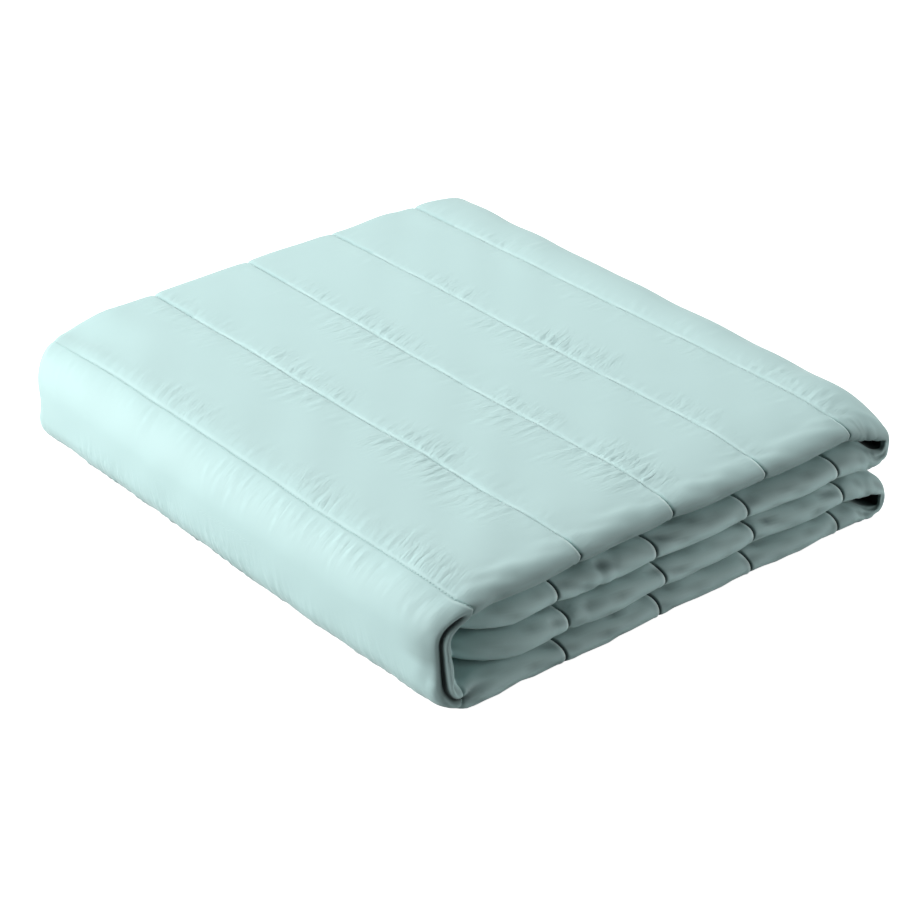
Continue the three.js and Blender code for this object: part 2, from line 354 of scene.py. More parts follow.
class Ring:
    """The outline of the cloth across the strip, as points in order, with an array for each measure.

    share runs from 0 at the front of the straight stretch to 1 at its back, side from -1 inside the turns
    to 1 outside, and arc is the distance round the outline. out is a reach in nose or tail depths and hem
    the shortfall of a hem. along and across give the way that the surface faces, and back tells how far a
    point lies behind the strip's front, negative round the nose.
    """

    STRAIGHT = 0.548
    NOSE_ARC = 0.054
    BACK_ARC = 0.020
    INNER_ARC = 0.025
    LINING_ARC = 0.030
    SMALL_ARC = 0.001
    INSIDE_ROWS, HIDDEN_ROWS = 8, 2
    BACK_STEPS, INNER_STEPS, HEM_STEPS = 8, 5, 4

    def __init__(self, ends: Ends, outside_rows: int, nose_steps: int) -> None:
        """Lay out the ring.

        Args:
            ends: the sizes of the nose, the back fold and the hems.
            outside_rows: rows of points along the face outside the turns.
            nose_steps: steps round the nose.
        """
        self.ends = ends
        self._rows: list[tuple[float, ...]] = []
        self._arc = 0.0
        gap, hidden = ends.ply_gap, self.HIDDEN_ROWS
        self._face(-1.0, False, self.INSIDE_ROWS)
        self._turn(0.0, -1.0, 1.0, 1.0, nose_steps, self.NOSE_ARC)
        self._face(1.0, True, outside_rows)
        self._turn(1.0, 1.0, gap, 1.0, self.BACK_STEPS, self.BACK_ARC)
        self._face(gap, False, hidden)
        self._slit(0.0, gap, -gap, ends.innermost)
        self._face(-gap, True, hidden)
        self._hem(-gap, gap - 0.5, ends.hems[0])
        self._face(gap - 0.5, False, hidden)
        self._turn(0.0, gap - 0.5, 0.5 - gap, ends.inner, self.INNER_STEPS, self.INNER_ARC)
        self._face(0.5 - gap, True, hidden)
        self._slit(1.0, 0.5 - gap, 0.5 + gap, ends.slit)
        self._face(0.5 + gap, False, hidden)
        self._turn(0.0, 0.5 + gap, -0.5 - gap, ends.lining, self.INNER_STEPS, self.LINING_ARC)
        self._face(-0.5 - gap, True, hidden)
        self._hem(-0.5 - gap, -1.0, ends.hems[1])
        self.length = self._arc
        self.share, self.side, self.arc, self.out, self.hem, self.along, self.across = np.array(self._rows).T
        middle = self.STRAIGHT + self.NOSE_ARC / 2
        self.back = np.abs(self.arc - middle) - self.NOSE_ARC / 2 + ends.nose

    def _face(self, side: float, forward: bool, rows: int) -> None:
        """Add the rows of one face of a ply, without its two ends."""
        shares = np.arange(1, rows + 1) / (rows + 1)
        for share in shares if forward else shares[::-1]:
            run = share if forward else 1.0 - share
            arc = self._arc + self.STRAIGHT * run
            self._rows.append((share, side, arc, 0.0, 0.0, 0.0, math.copysign(1.0, side)))
        self._arc += self.STRAIGHT

    def _turn(self, share: float, start: float, end: float, reach: float, steps: int, length: float) -> None:
        """Add a round turn from one side to another at the front or back."""
        for i in range(steps + 1):
            run = i / steps
            angle = (run - 0.5) * math.pi
            side = mix(start, end, 0.5 + 0.5 * math.sin(angle))
            facing = -math.cos(angle) if share == 0.0 else math.cos(angle)
            across = math.sin(angle) * math.copysign(1.0, end - start)
            arc = self._arc + length * run
            self._rows.append((share, side, arc, reach * math.cos(angle), 0.0, facing, across))
        self._arc += length

    def _slit(self, share: float, start: float, end: float, out: float) -> None:
        """Add the two points at the bottom of the gap between two plies."""
        for side in (start, end):
            self._rows.append((share, side, self._arc, out, 0.0, 0.0, 0.0))
            self._arc += self.SMALL_ARC

    def _hem(self, start: float, end: float, hem: float) -> None:
        """Add the round edge of a hem."""
        for i in range(self.HEM_STEPS + 1):
            angle = (i / self.HEM_STEPS - 0.5) * math.pi
            side = mix(start, end, 0.5 + 0.5 * math.sin(angle))
            out = -self.ends.roundness * (1.0 - math.cos(angle))
            self._rows.append((1.0, side, self._arc, out, hem, 0.0, 0.0))
            self._arc += self.SMALL_ARC


class Strip:
    """The folded strip of cloth: its seams, thickness and ends, and where each point of it lies."""

    def __init__(self, fold: Fold, crown: Crown, ends: Ends, waver: Waver, hollow: Hollow) -> None:
        """Keep the sizes and work out the seams.

        Args:
            fold: sizes of the layers and turns.
            crown: rise of the channels.
            ends: sizes of the front and back of the strip.
            waver: unevenness of the stack.
            hollow: the gaps inside the tight folds.
        """
        self.fold, self.crown, self.ends, self.waver, self.hollow = fold, crown, ends, waver, hollow
        self.line = MiddleLine(fold)
        self.shoulder, self.heel = self.line.shoulder.start, self.line.heel.end
        self.wrapped = (self.line.shoulder.end + self.line.heel.start) / 2
        self.upper_fold, self.lower_fold = self.line.upper.middle, self.line.lower.middle
        self.seams = self._seams()
        self.pull = np.ones(len(self.seams))
        self.pull[[SHOULDER_SEAM, HEEL_SEAM]] = fold.wrap.pull

    def _seams(self) -> Array:
        """Return the distances along the cloth at which the seams cross the strip."""
        fold, line = self.fold, self.line
        rows = (
            (fold.second, 0.0, fold.free.reach, (-1, 0, 1, 2)),
            (fold.top, line.upper.end, fold.upper.reach - fold.upper.bend, (2, 1, 0, -1)),
            (fold.bottom, self.heel, fold.wrap.reach + fold.wrap.heel, (-1, 0, 1, 2)),
            (fold.third, line.lower.end, fold.lower.reach - fold.lower.bend, (2, 1, 0, -1)),
        )
        second, top, bottom, third = (
            [origin + abs(layer.seam + step * fold.pitch - x) for step in steps]
            for layer, origin, x, steps in rows
        )
        shoulder = mix(self.shoulder, line.shoulder.end, fold.shoulder_seam)
        heel = mix(line.heel.start, self.heel, fold.heel_seam)
        return np.array([*second, *top, shoulder, heel, *bottom, *third])

    def nearest_seam(self, distance: Array) -> Array:
        """Return the number of the nearest seam."""
        return np.abs(distance[..., None] - self.seams).argmin(axis=-1)

    def from_seam(self, distance: Array) -> Array:
        """Return the signed distance to the nearest seam."""
        return distance - self.seams[self.nearest_seam(distance)]

    def _across_channel(self, distance: Array) -> Array:
        """Return -1 at a channel's first seam, 0 along its middle and 1 at its last seam."""
        stops = np.concatenate([[0.0], self.seams, [self.line.length]])
        channel = np.clip(np.searchsorted(stops, distance, side="right") - 1, 0, len(stops) - 2)
        start, end = stops[channel], stops[channel + 1]
        return 2.0 * (distance - start) / (end - start) - 1.0

    def fullness(self, distance: Array) -> Array:
        """Return 0 at a seam and 1 over nearly all of a channel."""
        return 1.0 - np.abs(self._across_channel(distance)) ** self.crown.fullness

    def swell(self, distance: Array) -> Array:
        """Return a round rise over each channel, 0 at its seams and 1 along its middle."""
        return 1.0 - self._across_channel(distance) ** 2

    def thickness(self, distance: Array) -> Array:
        """Return the strip's thickness."""
        fold, full = self.fold, self.fold.strip
        thick = np.full_like(distance, full)
        for apex, turn in ((self.upper_fold, fold.upper), (self.lower_fold, fold.lower)):
            thick += (turn.thickness - full) * near(distance, apex, turn.taper)
        from_end = np.minimum(distance, self.line.length - distance)
        thick += (fold.free.thickness - full) * (1.0 - smooth(from_end / fold.free.taper))
        reach = (self.heel - self.shoulder) / 2 + fold.pitch / 4
        thick += (fold.wrap.thickness - full) * near(distance, self.wrapped, reach)
        plump = self.waver.plump * np.sin(distance / self.waver.plump_wave)
        return thick * (1.0 + plump * self.fullness(distance))

    def hollowed(self, distance: Array) -> Array:
        """Return how much thinner the strip lies inside a tight fold, so that its gap opens."""
        hollow, thinner = self.hollow, np.zeros_like(distance)
        for apex in (self.upper_fold, self.lower_fold):
            beside = distance - apex
            reach = np.abs(beside)
            rising = smooth((reach - hollow.start) / (hollow.full - hollow.start))
            falling = 1.0 - smooth((reach - hollow.hold) / (hollow.end - hollow.hold))
            thinner += rising * falling * np.where(beside < 0.0, hollow.lower, hollow.upper)
            thinner += hollow.apex * near(distance, apex, hollow.full)
        return thinner

    def stray(self, distance: Array, back: Array, upper: Array) -> Array:
        """Return how far the cloth shifts along itself, so that its seams stray from straight lines.

        Args:
            distance: the stations along the cloth, as a column.
            back: the distance of each point from the front, negative round the nose.
            upper: 1 where a point faces up, 0 where it faces down.
        """
        waver, total = self.waver, np.zeros(np.broadcast_shapes(distance.shape, back.shape))
        for number, seam in enumerate(self.seams):
            share = waver.stray_beside.fall(np.abs(distance - seam))
            if not share.any():
                continue
            if number in DRIFTS:
                total = total + share * np.interp(back, DRIFT_PLACES, DRIFTS[number])
            else:
                heading = np.where(self.line.outward(np.array([seam]))[0, 1] > 0.0, 1.0, -1.0)
                total = total + share * heading * waver.slant * upper * waver.slant_back.rise(back)
        return total

    def drawn_in(self, distance: Array) -> Array:
        """Return how far the strip's ends are drawn in beside its free ends."""
        from_end = np.minimum(distance, self.line.length - distance)
        return self.fold.free.recede * np.maximum(0.0, 1.0 - from_end / self.fold.free.plan) ** 2

    def wrap_share(self, distance: Array) -> Array:
        """Return 1 along the loose turn's upright stretch, falling to 0 in the channels beside it."""
        return near(distance, self.wrapped, (self.heel - self.shoulder) / 2 + self.fold.pitch / 3)

    def front_and_back(self, distance: Array) -> tuple[Array, Array]:
        """Return the places of the strip's front and back ends along the seams."""
        fold, line, waver = self.fold, self.line, self.waver
        rows = (
            (0.0, fold.second), (line.upper.start, fold.second), (line.upper.end, fold.top),
            (self.shoulder, fold.top), (self.heel, fold.bottom), (line.lower.start, fold.bottom),
            (line.lower.end, fold.third), (line.length, fold.third),
        )
        places, fronts, backs = np.array([(place, layer.front, layer.back) for place, layer in rows]).T
        step = np.clip(np.searchsorted(places, distance) - 1, 0, len(rows) - 2)
        share = smooth((distance - places[step]) / (places[step + 1] - places[step]))
        x = line.at(distance)[..., 0]
        drawn = 1.0 - self.fullness(distance)
        wrapped = self.wrap_share(distance)
        edge = sum(size * np.sin(distance / wave) for size, wave in waver.edges)
        recede = self.drawn_in(distance)
        front = mix(fronts[step], fronts[step + 1], share) + self.crown.front * drawn + recede
        back = mix(backs[step], backs[step + 1], share) - self.crown.back * drawn - recede
        front += self.crown.set_back + fold.wrap.front * wrapped - waver.skew_front * x + edge
        back += -fold.wrap.back * wrapped - waver.skew_back * x + edge
        back += waver.heel_back.at(distance, line.heel.start)
        back -= waver.shoulder_back.at(distance, line.shoulder.end)
        lowest = waver.foot_past_heel.rise(distance - self.heel)
        lowest = lowest * waver.foot_before_fold.rise(self.lower_fold - distance)
        front += lowest * np.interp(x, *zip(*waver.foot))
        front -= waver.shoulder_front.at(distance, self.seams[SHOULDER_SEAM])
        return front, back

    def place(self, distance: Array, ring: Ring, relief: Array) -> Array:
        """Place the points of a ring at distances along the cloth.

        Args:
            distance: the stations along the cloth.
            ring: the outline of the cloth.
            relief: how far each point stands out of the plain surface, by station and ring point.

        Returns:
            The points, by station, ring point and coordinate, from the underside's middle.
        """
        ends, crown, waver = self.ends, self.crown, self.waver
        share, side = ring.share, ring.side
        station = distance[:, None]
        facing = self.line.outward(distance)[:, None, 1]
        strayed = station + self.stray(station, ring.back, 0.5 + 0.5 * side * facing)
        middle, outward = self.line.at(strayed), self.line.outward(strayed)
        drawn = 1.0 - self.fullness(station)
        thinner = self.hollowed(station)
        thick = self.thickness(station) - thinner
        scale = np.minimum(1.0, thick / self.fold.strip)
        dip = np.where(side > 0, crown.outer, crown.inner) * scale * drawn
        rise = side * (thick / 2 - dip) + thinner / 2 + relief * ring.across
        front, back = self.front_and_back(station)
        nose, tail = ends.nose * scale, ends.tail * scale
        upper = np.maximum(0.0, 0.5 + 0.5 * side * outward[..., 1])
        y = mix(front + nose, back - tail - ring.hem * scale, share)
        y = y - np.where(share == 0.0, ring.out * (nose - ends.droop * scale * upper**2), 0.0)
        y = y + np.where(share == 1.0, ring.out * tail, 0.0)
        y = y + relief * ring.along
        along = (y - front) / (back - front)
        right = waver.right.rise(middle[..., 0])
        lean = right * np.maximum(0.0, 1.0 - np.maximum(0.0, y - front) / waver.lean_along) ** 2
        bow = waver.bow_back * along**2 - waver.bow_out * np.sin(math.pi * along)
        x = middle[..., 0] + outward[..., 0] * rise + right * waver.spread * along
        x = x - lean * waver.lean + self.wrap_share(station) * bow
        height = self.fold.top.height
        z = (middle[..., 1] + outward[..., 1] * rise) * (1.0 - lean * waver.lean_fall / height)
        fall = waver.sag * np.sin(math.pi * along) * (1.0 - right)
        fall = fall - waver.swell * right * smooth(along / waver.swell_along)
        fall = fall + waver.drift * np.sin(x / waver.drift_wave + waver.drift_phase * along)
        z = z * (1.0 - fall / height)
        z = z - waver.shoulder_sink.at(station, self.shoulder) * waver.sink_along.rise(along)
        z = z + waver.heel_lift.at(station, self.heel) * waver.lift_along.rise(along)
        return np.stack([x - MIDDLE_X, y - MIDDLE_Y, np.maximum(z, 0.0)], axis=-1)


class Patch:
    """A run of stations on one ring, with the measures that the relief and the shades read."""

    BY_NOSE = Ramp(0.006, 0.022)

    def __init__(self, strip: Strip, distance: Array, ring: Ring) -> None:
        """Take the measures.

        Args:
            strip: the strip that the patch lies on.
            distance: the stations along the cloth.
            ring: the outline of the cloth.
        """
        self.strip, self.distance, self.ring = strip, distance, ring
        self.station = distance[:, None]
        self.side, self.arc, self.place = ring.side, ring.arc, ring.back
        self.by_nose = self.BY_NOSE.fall(self.place)
        self.outer = self.arc < 2 * Ring.STRAIGHT + Ring.NOSE_ARC + Ring.BACK_ARC
        self.outside = self.side > 0.0
        self.from_seam = strip.from_seam(self.station)
        self.pull = strip.pull[strip.nearest_seam(self.station)]
        self.facing = strip.line.outward(distance)[:, None, 1]
        self.rightward = -np.sign(self.facing) * self.from_seam
        self.upper = 0.5 + 0.5 * self.side * self.facing
        self.top = (self.station > strip.upper_fold) & (self.station < strip.wrapped)

    def blank(self) -> Array:
        """Return a 0 for each point."""
        return np.zeros((len(self.distance), len(self.arc)))


@dataclass(frozen=True)
class Groove:
    """The sewn groove at a seam: narrow and deep round the nose, uneven along the top."""

    depth: float = 0.0017
    depth_at_nose: float = 0.0052
    dark_side: float = 0.0009
    lit_side: float = 0.0021
    at_nose: float = 0.0008
    steepness: float = 1.8
    uneven: tuple[tuple[float, float, float], ...] = ((0.30, 160.0, 90.0), (0.22, 97.0, -41.0))
    shoulder_end: Ramp = Ramp(0.47, 0.07)

    def relief(self, patch: Patch) -> Array:
        """Return the groove's relief, below 0."""
        seam = patch.station - patch.from_seam
        wall = mix(np.where(patch.from_seam > 0, self.dark_side, self.lit_side), self.at_nose, patch.by_nose)
        uneven = 1.0
        for size, by_place, by_seam in self.uneven:
            uneven = uneven + size * np.sin(patch.place * by_place + seam * by_seam)
        on_shoulder = seam == patch.strip.seams[SHOULDER_SEAM]
        at_back = np.where(on_shoulder, self.shoulder_end.rise(patch.place), 0.0)
        depth = mix(self.depth * uneven * (1.0 - at_back), self.depth_at_nose, patch.by_nose)
        return -depth * patch.pull * np.exp(-((np.abs(patch.from_seam) / wall) ** self.steepness))


@dataclass(frozen=True)
class Lip:
    """The lip at the left of each seam round the nose, and the painted highlight that makes the lip and a
    line beside the seams paler.
    """

    height: float = 0.0009
    offset: float = 0.0020
    width: float = 0.0010
    least_facing: float = 0.3
    # painted highlight: its strength on the lips, and its strength, offset and width in the line beside the
    # seams
    pale: float = 1.3
    line_highlight: float = 0.42
    line_offset: float = 0.0015
    line_width: float = 0.0009

    def share(self, patch: Patch) -> Array:
        """Return the lip, from 0 to 1."""
        lip = bell(patch.rightward + self.offset, self.width)
        return lip * patch.by_nose * (np.abs(patch.facing) > self.least_facing) * patch.pull

    def painted_highlight(self, patch: Patch) -> Array:
        """Return the painted highlight, from 0 to 1, that makes the drawn cloth paler along the seams' lips
        and in a line beside the seams.
        """
        beside = bell(patch.from_seam + self.line_offset, self.line_width)
        beside = self.line_highlight * beside * (1.0 - patch.by_nose) * patch.pull * patch.outside
        return np.maximum(self.pale * self.share(patch), beside) * (patch.arc < 2 * Ring.STRAIGHT)


@dataclass(frozen=True)
class Rim:
    """The rolled rim at the wrap's front and the crease beside it, by places across the nose."""

    bulge: float = 0.0010
    roll_middle: float = -0.10
    roll_width: float = 0.40
    valley: float = 0.0060
    top: float = -0.30
    side: float = 0.14
    end: float = -0.60
    width: float = 0.13
    widening: Pair = (2.4, 3.2)
    shallow: float = 0.85
    past_seam: Ramp = Ramp(0.001, 0.011)
    to_side: Ramp = Ramp(0.0, 0.036)
    to_end: Ramp = Ramp(-0.022, 0.034)
    widens: Ramp = Ramp(-0.062, 0.040)
    fades: Ramp = Ramp(-0.036, 0.070)

    def parts(self, patch: Patch) -> tuple[Array, Array, Array]:
        """Return how near the wrap a station lies, the crease beside the rim, and the nose's points."""
        strip = patch.strip
        past_seam = patch.station - strip.seams[SHOULDER_SEAM]
        past_heel = patch.station - strip.heel
        wrap = self.past_seam.rise(past_seam) * self.fades.rise(-past_heel)
        low = mix(self.shallow, 1.0, Ramp(strip.shoulder, strip.heel - strip.shoulder).rise(patch.station))
        middle = mix(self.top, self.side, self.to_side.rise(past_seam))
        middle = mix(middle, self.end, self.to_end.rise(past_heel))
        on_nose = (patch.ring.share == 0.0) & (patch.arc < Ring.STRAIGHT + Ring.NOSE_ARC)
        own = patch.side - middle
        wider = self.width * mix(*self.widening, self.widens.rise(past_heel))
        width = np.where(own > 0.0, wider, self.width)
        return wrap, wrap * low * bell(own, width) * on_nose, on_nose

    def relief(self, patch: Patch) -> Array:
        """Return the relief of the rim and the crease."""
        wrap, crease, on_nose = self.parts(patch)
        roll = bell(patch.side - self.roll_middle, self.roll_width)
        return self.bulge * wrap * roll * on_nose - self.valley * crease


@dataclass(frozen=True)
class Slope:
    """How far the top layer and the loose turn's face slope in towards their front."""

    top: float = 0.0046
    top_back: Ramp = Ramp(0.0, 0.070)
    past_fold: Ramp = Ramp(0.0, 0.045)
    before_wrap: Ramp = Ramp(0.0, 0.050)
    face: float = 0.0036
    face_back: Ramp = Ramp(0.0, 0.037)
    past_shoulder: Ramp = Ramp(0.0, 0.040)
    before_heel: Ramp = Ramp(-0.010, 0.045)

    def relief(self, patch: Patch) -> Array:
        """Return the slope's relief, below 0, on the face outside the turns."""
        strip, station = patch.strip, patch.station
        top = self.past_fold.rise(station - strip.upper_fold)
        top = top * self.before_wrap.rise(strip.wrapped - station)
        face = self.past_shoulder.rise(station - strip.shoulder)
        face = face * self.before_heel.rise(strip.heel - station)
        slope = self.top * top * self.top_back.fall(patch.place)
        slope = np.maximum(slope, self.face * face * self.face_back.fall(patch.place))
        return -slope * patch.outside * np.maximum(0.0, patch.ring.across)


@dataclass(frozen=True)
class Waves:
    """A sum of waves over the cloth, with set ranges of pitch along the cloth and round the outline."""

    seed: int
    height: float
    by_station: Pair
    by_arc: Pair
    count: int = 16
    evening: float = 3.2

    def relief(self, patch: Patch) -> Array:
        """Return the waves, about their height at the highest."""
        draw = np.random.default_rng(self.seed)
        total = patch.blank()
        for _ in range(self.count):
            turn, weight = draw.uniform(0.0, 2 * math.pi), draw.uniform(0.4, 1.0)
            lean = draw.choice((-1.0, 1.0))
            swing = draw.uniform(*self.by_station) * patch.station
            total += weight * np.sin(swing + lean * draw.uniform(*self.by_arc) * patch.arc + turn)
        return total / self.evening * self.height


class Mark(Enum):
    """A place along the cloth from which a dent is measured."""

    UPPER_FOLD = "upper fold"
    LOWER_FOLD = "lower fold"
    FIRST_END = "first end"
    LAST_END = "last end"

    def at(self, strip: Strip) -> float:
        """Return the mark's distance along the cloth."""
        places = {Mark.UPPER_FOLD: strip.upper_fold, Mark.LOWER_FOLD: strip.lower_fold, Mark.FIRST_END: 0.0}
        return places.get(self, strip.line.length)


@dataclass(frozen=True)
class NoseDent:
    """A short upright dent in a layer's nose: its place from a mark, its depth, width and lean."""

    mark: Mark
    offset: float
    depth: float
    width: float
    lean: float

    BY_NOSE = Ramp(0.002, 0.016)
    NOSE_MIDDLE = 0.010

    def relief(self, patch: Patch) -> Array:
        """Return the dent's relief, below 0."""
        past = patch.station - self.mark.at(patch.strip) - self.offset
        beside = past - self.lean * (patch.place - self.NOSE_MIDDLE)
        return -self.depth * self.BY_NOSE.fall(patch.place) * bell(beside, self.width)


@dataclass(frozen=True)
class PuckerCluster:
    """A group of short wrinkles beside a seam, between two places along it."""

    seam: int
    start: float
    end: float
    side: Side
    reach: float
    depth: float
    spacing: float = 0.0085

    LEANS = {Side.BEFORE: 0.29, Side.AFTER: 0.05}
    STEPS = (0.55, 0.8, 1.0, 1.35, 1.7)
    GATHER_ENDS = Ramp(-0.02, 0.03)
    GATHER_START = Ramp(0.0008, 0.003)
    GATHER_FULL = 0.35  # here and below: shares of the reach
    FARTHEST = 2.2
    FULL_DEPTH = 0.0004
    CREASE_OFFSET, CREASE_DEPTH = 1.5, 0.8  # from the ridge in ridge widths, and against the ridge's height

    def beside(self, patch: Patch) -> Array:
        """Return how far each station lies off the seam on the cluster's side."""
        return (patch.station - patch.strip.seams[self.seam]) * self.side.value

    def gather(self, patch: Patch) -> Array:
        """Return how strongly the cloth is gathered by the cluster, from 0 to 1."""
        own, ends = self.beside(patch), self.GATHER_ENDS
        along = ends.rise(patch.place - self.start) * ends.rise(self.end - patch.place)
        across = self.GATHER_START.rise(own) * Ramp(self.GATHER_FULL * self.reach, self.reach).fall(own)
        return along * across * min(1.0, self.depth / self.FULL_DEPTH)

    def add_wrinkles(self, total: Array, patch: Patch, draw: np.random.Generator) -> None:
        """Add the relief of the cluster's wrinkles to that of a patch."""
        beside = self.beside(patch)
        rows = np.flatnonzero((beside[:, 0] > 0.0) & (beside[:, 0] < self.FARTHEST * self.reach))
        at = self.start + draw.uniform(0.0, self.spacing)
        while at < self.end:
            total[rows] += self._wrinkle(beside[rows], patch.place, at, draw)
            at += self.spacing * draw.choice(self.STEPS) * draw.uniform(0.85, 1.15)

    def _wrinkle(self, beside: Array, place: Array, at: float, draw: np.random.Generator) -> Array:
        """Return one wrinkle: a ridge with a crease on its back, that starts near the seam and fades out."""
        off_seam = draw.uniform(0.0, 0.003) if draw.uniform() < 0.7 else draw.uniform(0.006, 0.016)
        reach = self.reach * draw.uniform(0.35, 1.05)
        depth = self.depth * draw.uniform(0.35, 1.15)
        width = self.spacing * draw.uniform(0.24, 0.36)
        lean = self.LEANS[self.side] + draw.uniform(-0.14, 0.14)
        bow = draw.uniform(-5.0, 5.0)
        past = beside - off_seam
        fade = Ramp(0.0, 0.0045).rise(past) * Ramp(0.25 * reach, 0.85 * reach).fall(past)
        offset = (place - at - lean * beside - bow * beside**2) / width
        crease = self.CREASE_DEPTH * bell(offset - self.CREASE_OFFSET, 1.0)
        return depth * fade * (bell(offset, 1.0) - crease)


DENTS = tuple(
    NoseDent(mark, *row)
    for mark, rows in {
        Mark.UPPER_FOLD: (
            (0.019, 0.0009, 0.0024, 0.25), (0.0275, 0.0011, 0.0028, -0.2), (0.036, 0.0009, 0.0026, 0.1),
            (0.045, 0.0006, 0.003, 0.3), (-0.0185, 0.0009, 0.0026, -0.2), (-0.027, 0.0008, 0.0028, 0.15),
            (-0.0365, 0.001, 0.0032, -0.1), (-0.048, 0.0006, 0.0034, 0.2),
        ),
        Mark.LOWER_FOLD: (
            (0.02, 0.0007, 0.003, 0.25), (0.031, 0.0009, 0.0034, -0.15), (0.043, 0.0006, 0.0032, 0.2),
            (-0.019, 0.001, 0.0028, -0.25), (-0.03, 0.001, 0.0032, 0.1), (-0.042, 0.0008, 0.003, -0.2),
        ),
        Mark.FIRST_END: (
            (0.132, 0.0015, 0.0034, 0.1), (0.113, 0.0009, 0.004, -0.15), (0.148, 0.0008, 0.0036, 0.2),
        ),
        Mark.LAST_END: (
            (-0.098, 0.0015, 0.0036, -0.1), (-0.114, 0.0008, 0.0038, 0.15), (-0.081, 0.001, 0.004, 0.1),
        ),
    }.items()
    for row in rows
)
CLUSTERS = tuple(
    PuckerCluster(*row)
    for row in (
        (8, 0.350, 0.420, Side.BEFORE, 0.030, 0.00020), (8, 0.165, 0.225, Side.BEFORE, 0.030, 0.00024),
        (8, 0.030, 0.100, Side.BEFORE, 0.028, 0.00028), (8, 0.100, 0.300, Side.AFTER, 0.024, 0.00012),
        (7, 0.470, 0.560, Side.BEFORE, 0.024, 0.00020), (7, 0.460, 0.560, Side.AFTER, 0.030, 0.00024),
        (7, 0.300, 0.420, Side.BEFORE, 0.030, 0.00034), (7, 0.310, 0.430, Side.AFTER, 0.034, 0.00030),
        (7, 0.160, 0.235, Side.BEFORE, 0.032, 0.00040), (7, 0.150, 0.240, Side.AFTER, 0.038, 0.00036),
        (7, 0.070, 0.150, Side.AFTER, 0.046, 0.00026), (6, 0.455, 0.510, Side.BEFORE, 0.026, 0.00026),
        (6, 0.325, 0.430, Side.AFTER, 0.036, 0.00034), (6, 0.330, 0.430, Side.BEFORE, 0.030, 0.00032),
        (6, 0.160, 0.230, Side.BEFORE, 0.028, 0.00034), (6, 0.150, 0.230, Side.AFTER, 0.034, 0.00030),
        (6, 0.030, 0.105, Side.BEFORE, 0.036, 0.00046), (6, 0.040, 0.120, Side.AFTER, 0.036, 0.00034),
        (5, 0.385, 0.440, Side.BEFORE, 0.028, 0.00030), (5, 0.300, 0.355, Side.AFTER, 0.032, 0.00030),
        (5, 0.205, 0.290, Side.BEFORE, 0.036, 0.00046), (5, 0.210, 0.300, Side.AFTER, 0.036, 0.00034),
        (5, 0.080, 0.130, Side.BEFORE, 0.028, 0.00028), (4, 0.420, 0.480, Side.BEFORE, 0.024, 0.00020),
        (4, 0.290, 0.340, Side.AFTER, 0.026, 0.00024), (4, 0.160, 0.210, Side.AFTER, 0.026, 0.00022),
        (4, 0.020, 0.130, Side.BEFORE, 0.030, 0.00020),
        (9, 0.405, 0.500, Side.BEFORE, 0.034, 0.00030, 0.0056),
        (9, 0.320, 0.390, Side.BEFORE, 0.040, 0.00030, 0.0056),
        (9, 0.235, 0.310, Side.BEFORE, 0.046, 0.00032, 0.0056),
        (9, 0.040, 0.230, Side.BEFORE, 0.036, 0.00016, 0.0064),
    )
)
FAINT_CLUSTERS = tuple(
    PuckerCluster(seam, 0.02, 0.56, side, 0.026, 0.00012, 0.0088) for seam in TOP_SEAMS for side in Side
)


@dataclass(frozen=True)
class Density:
    """How closely the stations lie along the cloth: in a pair, first in its seen part, then in the rest."""

    seen: Pair = (0.412, 1.052)
    join: float = 0.004
    by_end: tuple[float, ...] = (0.0, 0.0015, 0.004, 0.008)
    by_dent: tuple[float, ...] = (-1.8, -0.9, 0.0, 0.9, 1.8)
    by_seam: tuple[tuple[float, ...], ...] = (
        (0.0004, 0.0009, 0.0015, 0.0023, 0.0035, 0.0053, 0.0078, 0.0112, 0.0155, 0.0208, 0.0270, 0.0345),
        (0.0004, 0.0009, 0.0016, 0.0026, 0.0048, 0.010, 0.018),
    )
    least_step: float = 0.00035
    widest_step: Pair = (0.0095, 0.015)
    largest_turn: Pair = (math.radians(8.0), math.radians(10.0))
    samples: int = 24

    def hidden(self, distance: float) -> int:
        """Return 0 for the seen part and 1 for the hidden part."""
        return 0 if self.seen[0] < distance < self.seen[1] else 1

    def stations(self, strip: Strip) -> Array:
        """Return the stations along the cloth: close at the seams and round the turns."""
        line = strip.line
        marks = [self.seen[0] - self.join, self.seen[1] + self.join]
        for inset in self.by_end:
            marks += [inset, line.length - inset]
        for dent in DENTS:
            marks += [dent.mark.at(strip) + dent.offset + share * dent.width for share in self.by_dent]
        for seam in map(float, strip.seams):
            marks.append(seam)
            marks += [seam + sign * offset for offset in self.by_seam[self.hidden(seam)] for sign in (-1, 1)]
        ordered = [float(mark) for mark in np.unique(np.clip(marks, 0.0, line.length))]
        kept = ordered[:1]
        for mark in ordered[1:]:
            if mark - kept[-1] > self.least_step:
                kept.append(mark)
        stations = kept[:1]
        for start, end in zip(kept[:-1], kept[1:]):
            hidden = self.hidden((start + end) / 2)
            dense = np.linspace(start, end, self.samples)
            bends = np.linalg.norm(np.diff(line.outward(dense), axis=0), axis=1)
            turned = np.concatenate([[0.0], np.cumsum(bends)])
            measure = turned / self.largest_turn[hidden] + (dense - start) / self.widest_step[hidden]
            parts = max(1, math.ceil(measure[-1]))
            stations += list(np.interp(np.linspace(0.0, measure[-1], parts + 1)[1:], measure, dense))
        return np.array(stations)


